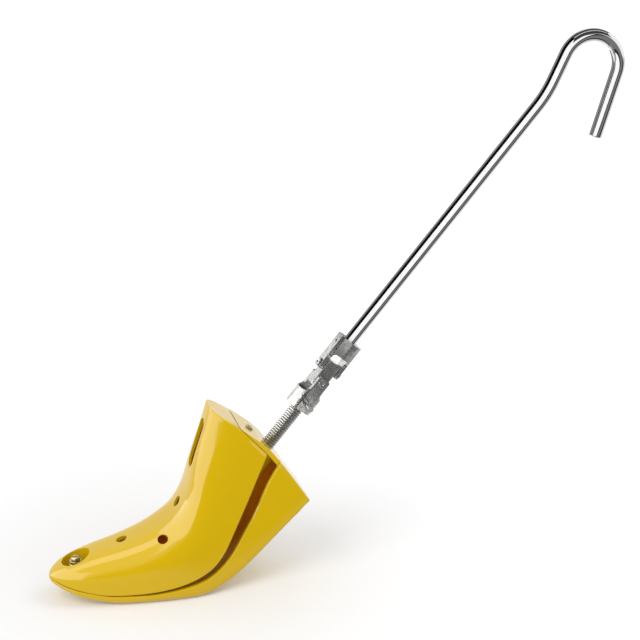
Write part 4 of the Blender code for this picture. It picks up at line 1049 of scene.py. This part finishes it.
nickel, _ = finish(
    "nickel_plate", (0.78, 0.775, 0.76), (0.34, 0.335, 0.32), (0.88, 0.88, 0.87), 0.16, 0.34, 1.0,
    330.0, (800.0, 0.000030), (240.0, 0.000016), 0.0005)
across = Matrix.Rotation(math.pi / 2, 4, "Z")
upper_pivot_height = LOWER_FORK_START + FORK_PIVOT + PIVOT_SPACING
upper_fork_place = (
    spindle_place @ Matrix.Translation((0.0, 0.0, upper_pivot_height + FORK_PIVOT))
    @ Euler((math.pi, 0.0, math.pi / 2)).to_matrix().to_4x4()
)


def ruled(outline, fork_place):
    """Cutter from an outline of X and height, ruled across a fork's Y."""
    return moved(prism(outline, COLLAR_WIDTH), fork_place)


def rounded_edges(placed, width):
    """Small rounds on the hard edges, with flat faces kept flat."""
    rounding = placed.modifiers.new("rounding", "BEVEL")
    rounding.width = width
    rounding.segments = ROUND_SEGMENTS
    rounding.limit_method = "ANGLE"
    rounding.angle_limit = ROUND_FROM_ANGLE
    rounding.use_clamp_overlap = True
    evening = placed.modifiers.new("evening", "WEIGHTED_NORMAL")
    evening.mode = "FACE_AREA"
    evening.weight = FLAT_FACE_WEIGHT


def fork(name, fork_place, bore_width, body, replaced):
    """Forked collar, its closed end at zero and its ears up, with pins along its Y."""
    far = COLLAR_WIDTH
    half_slot, ear = FORK_SLOT / 2, EAR_WIDTH / 2
    slot = eased((
        (half_slot, FORK_LENGTH + far), (half_slot, FORK_FLOOR), (-half_slot, FORK_FLOOR),
        (-half_slot, FORK_LENGTH + far),
    ), FORK_SLOT_CORNER)
    cuts = [ruled(slot, fork_place @ across)]
    for side in (-1, 1):
        flat = COLLAR_FLATS / 2
        cuts.append(ruled([
            (side * flat, -far), (side * far, -far), (side * far, FORK_LENGTH + far),
            (side * flat, FORK_LENGTH + far),
        ], fork_place @ across))
        shoulder = eased((
            (far, FORK_FLOOR), (ear, FORK_FLOOR), (ear, FORK_LENGTH), (0.0, FORK_LENGTH),
            (0.0, FORK_LENGTH + far),
        ), SHOULDER_HEIGHT)
        shoulder = [(x, z) for x, z in shoulder if z <= FORK_LENGTH - EAR_CORNER * 2]
        tip = eased(((ear, FORK_LENGTH - EAR_CORNER * 2), (ear, FORK_LENGTH),
                     (ear - EAR_CORNER * 2, FORK_LENGTH)), EAR_CORNER)
        outline = [*shoulder, *tip, (0.0, FORK_LENGTH), (0.0, FORK_LENGTH + far), (far, FORK_LENGTH + far)]
        cuts.append(ruled([(side * x, z) for x, z in outline], fork_place))
    cuts.append(bar(bore_width, -far, FORK_FLOOR + far / 2, fork_place))
    cuts.append(pin_drill(PIVOT_PIN_WIDTH + 2 * GAP, FORK_PIVOT, fork_place))
    cuts.append(pin_drill(CROSS_PIN_WIDTH + 2 * GAP, FORK_CROSS_PIN, fork_place))
    collar = bar(COLLAR_WIDTH, 0.0, FORK_LENGTH, fork_place, COLLAR_STEPS)
    made = combined(collar, cuts, "DIFFERENCE", [nickel])
    placed = piece(name, made, [nickel], body, [replaced], sharp=math.pi)
    rounded_edges(placed, FORK_EDGE_ROUND)


fork("lower_fork", lower_fork_place, SHANK_WIDTH + 2 * GAP, "spindle", "lower_yoke")
fork("upper_fork", upper_fork_place, ROD_WIDTH + 2 * GAP, "handle", "upper_yoke")


# The link: a short square steel block between the forks, with chamfered corners. It is drilled
# across for the lower rivet, and square to that for the upper one.
LINK_SIDE = 0.0104
LINK_LENGTH = 0.0212
LINK_CORNER = 0.0014
LINK_CORNER_STEPS = 4

link_low = LOWER_FORK_START + FORK_PIVOT + (PIVOT_SPACING - LINK_LENGTH) / 2
link = block((-LINK_SIDE / 2, -LINK_SIDE / 2, link_low),
             (LINK_SIDE / 2, LINK_SIDE / 2, link_low + LINK_LENGTH), Matrix.Identity(4))
bmesh.ops.bevel(link, geom=link.edges, offset=LINK_CORNER, segments=LINK_CORNER_STEPS, profile=0.5,
                affect="EDGES", material=-1)
link = combined(moved(link, spindle_place), [
    pin_drill(PIVOT_PIN_WIDTH + 2 * GAP, FORK_PIVOT, fork_place)
    for fork_place in (lower_fork_place, upper_fork_place)
], "DIFFERENCE", [nickel])
placed = piece("universal_link", link, [nickel], "link", ["link_block"], sharp=math.pi)
rounded_edges(placed, GAP / 2)


# The rivets and cross pins: soft steel, plated with the forks. A rivet's heads are set with a
# dimpling punch, and a cross pin stands a little proud with a domed end.
RIVET_HEAD_WIDTH = 0.0062
RIVET_HEAD_HEIGHT = 0.0008
RIVET_CORNER = 0.0004
DIMPLE_WIDTH = 0.0026
DIMPLE_DEPTH = 0.0005
CROSS_PIN_PROUD = 0.0005
RIVET_SHARP_ANGLE = math.radians(60.0)

seat_out = COLLAR_FLATS / 2 + GAP
head_out = seat_out + RIVET_HEAD_HEIGHT
half_rivet = eased((
    (0.0, head_out - DIMPLE_DEPTH), (DIMPLE_WIDTH / 4, head_out - DIMPLE_DEPTH), (DIMPLE_WIDTH / 2, head_out),
    (RIVET_HEAD_WIDTH / 2, head_out), (RIVET_HEAD_WIDTH / 2, seat_out), (PIVOT_PIN_WIDTH / 2, seat_out),
    (PIVOT_PIN_WIDTH / 2, 0.0),
), RIVET_CORNER)
rivet = [*half_rivet[:-1], *[(radius, -height) for radius, height in half_rivet[-2::-1]]]
pin_end = COLLAR_FLATS / 2 + CROSS_PIN_PROUD
cross_pin = stepped(pin_end, (CROSS_PIN_WIDTH, -pin_end), rounding=CROSS_PIN_PROUD)
for name, outline, height, fork_place, body, replaced in (
    ("lower_rivet", rivet, FORK_PIVOT, lower_fork_place, "spindle", "lower_pivot_pin"),
    ("upper_rivet", rivet, FORK_PIVOT, upper_fork_place, "handle", "upper_pivot_pin"),
    ("spindle_pin", cross_pin, FORK_CROSS_PIN, lower_fork_place, "spindle", "spindle_cross_pin"),
    ("handle_pin", cross_pin, FORK_CROSS_PIN, upper_fork_place, "handle", "handle_cross_pin"),
):
    made = turned(outline, across_fork(fork_place, height))
    piece(name, made, [nickel], body, [replaced], sharp=RIVET_SHARP_ANGLE)


# The handle: one round steel bar, bent to an S at the top and back on itself as a hook, then
# chromed. Its cut end is chamfered, and its lower end is pinned in the upper fork.
ROD_STRAIGHT = 0.3069
BEND_RADIUS = 0.080
BEND_ANGLE = math.radians(15.0)
NECK_LENGTH = 0.0300
HOOK_RADIUS = 0.0205
HOOK_ANGLE = math.radians(171.8)
HOOK_LEG = 0.0460
BEND_STEPS = 16
HOOK_STEPS = 96
STRAIGHT_STEPS = 40
ROD_STEPS = 48
ROD_END_ROUND = 0.0011
ROD_END_STEPS = 5

chrome, _ = finish(
    "chrome", (0.88, 0.88, 0.89), (0.80, 0.80, 0.815), (0.90, 0.90, 0.90), 0.03, 0.085, 1.0,
    90.0, (1500.0, 0.0000004), (70.0, 0.00003), 0.0004)


class Bar:
    """Round bar grown from its first ring, in the side view."""

    def __init__(self, start, heading, width):
        self.made = bmesh.new()
        self.spot = upright(start)
        self.heading = heading
        ring_place = Matrix.Translation(self.spot) @ Matrix.Rotation(math.pi / 2 - heading, 4, "Y")
        bmesh.ops.create_circle(
            self.made, cap_ends=False, segments=ROD_STEPS, radius=width / 2, matrix=ring_place)
        self.ring = self.made.edges[:]

    def run(self):
        """Direction of the bar's end."""
        return Vector((math.cos(self.heading), 0.0, math.sin(self.heading)))

    def corners(self):
        """Vertices of the bar's end."""
        return list({vertex for edge in self.ring for vertex in edge.verts})

    def straight(self, length, steps=1):
        """Grow straight on."""
        for _ in range(steps):
            grown = bmesh.ops.extrude_edge_only(self.made, edges=self.ring)["geom"]
            self.ring = [
                item for item in grown if isinstance(item, bmesh.types.BMEdge) and len(item.link_faces) == 1]
            bmesh.ops.translate(self.made, verts=self.corners(), vec=self.run() * length / steps)
        self.spot += self.run() * length

    def bend(self, radius, angle, side, steps):
        """Grow round a bend; side is 1 to the left and -1 to the right."""
        normal = Vector((-math.sin(self.heading), 0.0, math.cos(self.heading)))
        centre = self.spot + normal * radius * side
        spun = bmesh.ops.spin(self.made, geom=self.corners() + self.ring, cent=centre,
                              axis=(0.0, -side, 0.0), angle=angle, steps=steps)
        self.ring = [item for item in spun["geom_last"] if isinstance(item, bmesh.types.BMEdge)]
        self.spot = centre + Matrix.Rotation(angle, 4, (0.0, -side, 0.0)) @ (self.spot - centre)
        self.heading += side * angle

    def close(self, width, rounding, steps):
        """Finish the end with a round and a flat."""
        for step in range(steps):
            before, now = (math.pi / 2 * (step + k) / steps for k in (0, 1))
            old_radius, radius = (width / 2 - rounding * (1 - math.cos(turn)) for turn in (before, now))
            self.straight(rounding * (math.sin(now) - math.sin(before)))
            centre = Matrix.Translation(self.spot)
            bmesh.ops.transform(self.made, verts=self.corners(),
                                matrix=centre @ Matrix.Scale(radius / old_radius, 4) @ centre.inverted())
        bmesh.ops.holes_fill(self.made, edges=self.made.edges, sides=0)
        faced_out(self.made)


rod_start = entry + rod_up * (upper_pivot_height + FORK_PIVOT - FORK_FLOOR + GAP)
tangent = BEND_RADIUS * math.tan(BEND_ANGLE / 2)
rod = Bar(rod_start, math.pi / 2 - ROD_LEAN, ROD_WIDTH)
rod.straight(np.linalg.norm(entry + rod_up * (ROD_STRAIGHT - tangent) - rod_start), STRAIGHT_STEPS)
rod.bend(BEND_RADIUS, BEND_ANGLE, 1, BEND_STEPS)
rod.straight(NECK_LENGTH - tangent)
rod.bend(HOOK_RADIUS, HOOK_ANGLE, -1, HOOK_STEPS)
rod.straight(HOOK_LEG - ROD_END_ROUND, 4)
rod.close(ROD_WIDTH, ROD_END_ROUND, ROD_END_STEPS)
piece("hooked_handle", rod.made, [chrome], "handle", ["handle_hook"])


# Inside the last: the spindle's nut and the plate's two screws are zinc plated, and the foot and
# plate that it pushes on are dark oiled steel.
oiled, _ = finish(
    "oiled_steel", (0.25, 0.25, 0.26), (0.10, 0.09, 0.08), (0.42, 0.42, 0.42), 0.22, 0.50, 1.0,
    140.0, (1500.0, 0.000010), (240.0, 0.000010), 0.0004)
for name, coat in (
    ("spindle_nut", zinc), ("plate_screw_near", zinc), ("plate_screw_far", zinc), ("toe_nut", zinc),
    ("thrust_foot", oiled), ("thrust_plate", oiled),
):
    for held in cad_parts[name].material_slots:
        held.material = coat


# The toe set: a slotted screw from above into a nut in the sole, with a washer and a spring
# under its head, so that the toe ends stay pressed together while the last opens.
TOE_HEAD_WIDTH = 0.0064
TOE_HEAD_HEIGHT = 0.0024
TOE_HEAD_CORNER = 0.0012
TOE_SLOT_WIDTH = 0.0012
TOE_SLOT_DEPTH = 0.0010
TOE_SCREW_END_LIFT = 0.0004
TOE_WASHER_WIDTH = 0.0086
TOE_WASHER_THICKNESS = 0.0008
TOE_WASHER_CORNER = 0.0002
SPRING_WIDTH = 0.0096
SPRING_WIRE = 0.0012
SPRING_LENGTH = 0.0090
SPRING_TURNS = 4
SPRING_STEPS = 36
WIRE_STEPS = 14

toe_place = at((toe_x, 0.0))
spring_base = toe_floor + GAP
washer_bottom = spring_base + SPRING_LENGTH + GAP
head_bottom = washer_bottom + TOE_WASHER_THICKNESS + GAP
head_top = head_bottom + TOE_HEAD_HEIGHT
screw_end = nut_bottom + TOE_SCREW_END_LIFT
toe_screw = turned(stepped(
    head_top, (TOE_HEAD_WIDTH, head_bottom), (TOE_SCREW_WIDTH, screw_end), rounding=TOE_HEAD_CORNER,
), toe_place)
# Yellow zinc plating, painted darker and yellower than the plating alone: painted shade and yellow bounce
# light of the toe bore
yellow_zinc_with_painted_bore_shade, _ = finish(
    "yellow_zinc_with_painted_bore_shade", (0.60, 0.51, 0.27), (0.38, 0.31, 0.14), (0.72, 0.64, 0.40), 0.30, 0.50, 1.0,
    420.0, (2600.0, 0.000008), (300.0, 0.000006), 0.0003)
toe_screw = combined(toe_screw, [block(
    (-TOE_HEAD_WIDTH, -TOE_SLOT_WIDTH / 2, head_top - TOE_SLOT_DEPTH),
    (TOE_HEAD_WIDTH, TOE_SLOT_WIDTH / 2, head_top + OVERRUN), toe_place)], "DIFFERENCE", [yellow_zinc_with_painted_bore_shade])
piece("toe_slotted_screw", toe_screw, [yellow_zinc_with_painted_bore_shade], "sole_half", ["toe_screw"])

bore = TOE_SCREW_WIDTH / 2 + GAP
washer_top = washer_bottom + TOE_WASHER_THICKNESS
washer_profile = eased((
    (bore, (washer_bottom + washer_top) / 2), (bore, washer_top), (TOE_WASHER_WIDTH / 2, washer_top),
    (TOE_WASHER_WIDTH / 2, washer_bottom), (bore, washer_bottom), (bore, (washer_bottom + washer_top) / 2),
), TOE_WASHER_CORNER)
piece("toe_plain_washer", turned(washer_profile, toe_place), [yellow_zinc_with_painted_bore_shade], "sole_half",
      ["toe_washer"])

coil = bmesh.new()
coil_radius = (SPRING_WIDTH - SPRING_WIRE) / 2
climb = SPRING_LENGTH - SPRING_WIRE
ring_place = Matrix.Translation((coil_radius, 0.0, SPRING_WIRE / 2)) @ Matrix.Rotation(math.pi / 2, 4, "X")
bmesh.ops.create_circle(
    coil, cap_ends=False, segments=WIRE_STEPS, radius=SPRING_WIRE / 2, matrix=ring_place)
wound(coil, coil.verts[:] + coil.edges[:], climb / (SPRING_TURNS * SPRING_STEPS), SPRING_TURNS, SPRING_STEPS)
moved(coil, at((toe_x, spring_base)))
placed = piece("toe_coil", coil, [yellow_zinc_with_painted_bore_shade], "sole_half", ["toe_spring"])
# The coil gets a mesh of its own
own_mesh(placed)

# Surrounds: rounds of paper strips hung well away from the part and seen in gloss only, which
# give the metals their light and dark bands. Strips are counted in degrees round the axis from
# the camera side: each one ends at its degree and has its brightness.
SURROUND_DISTANCE = 0.17
SURROUND_STEP_DEGREES = 4.0
BAR_WAY = (axis_start, axis_run)
HOOK_WAY = (Vector((0.305, 0.0, 0.355)), Vector((1.0, 0.0, 0.0)))
SURROUNDS = (
    # name, foot and way of its axis, low and high end, first edge, strips
    ("spindle_surround", BAR_WAY, -0.020, 0.019, -27.0, ((36.0, 0.004), (50.0, 1.7), (108.0, 0.22))),
    ("lower_fork_surround", BAR_WAY, 0.019, 0.048, -180.0,
     ((-46.0, 1.1), (20.0, 0.004), (62.0, 0.10), (155.0, 0.40), (180.0, 1.2))),
    ("upper_fork_surround", BAR_WAY, 0.048, 0.0775, -180.0,
     ((-100.0, 1.25), (-56.0, 0.12), (8.0, 0.004), (62.0, 0.22), (155.0, 0.50), (180.0, 1.2))),
    ("bar_surround", BAR_WAY, 0.0775, 0.44, -180.0,
     ((-97.0, 0.27), (-41.0, 0.004), (35.0, 1.15), (47.0, 0.03), (76.0, 0.20), (97.0, 0.03))),
    ("hook_surround", HOOK_WAY, -0.065, 0.22, -115.0, ((-66.0, 0.07), (-58.0, 1.0), (-12.0, 0.05))),
)

papers = {}
for name, (foot, way), low, high, strip_start, strips in SURROUNDS:
    camera_side = (back - back.dot(way) * way).normalized()
    surround = bmesh.new()
    edge_way = Matrix.Rotation(math.radians(strip_start), 4, way) @ camera_side
    ends = [surround.verts.new(foot + way * up + edge_way * SURROUND_DISTANCE) for up in (low, high)]
    edge_now = [*ends, surround.edges.new(ends)]
    strip_papers = []
    for number, (strip_end, brightness) in enumerate(strips):
        known = set(surround.faces)
        edge_now = bmesh.ops.spin(
            surround, geom=edge_now, cent=foot, axis=way, angle=math.radians(strip_end - strip_start),
            steps=max(2, round((strip_end - strip_start) / SURROUND_STEP_DEGREES)),
        )["geom_last"]
        for face in set(surround.faces) - known:
            face.material_index = number
        if brightness not in papers:
            papers[brightness] = glowing(f"paper_{len(papers)}", brightness)
        strip_papers.append(papers[brightness])
        strip_start = strip_end
    surround.normal_update()
    bmesh.ops.reverse_faces(surround, faces=[
        face for face in surround.faces if face.normal.dot(face.calc_center_median() - foot) < 0])
    in_gloss_only(plain_object(name, surround, strip_papers))
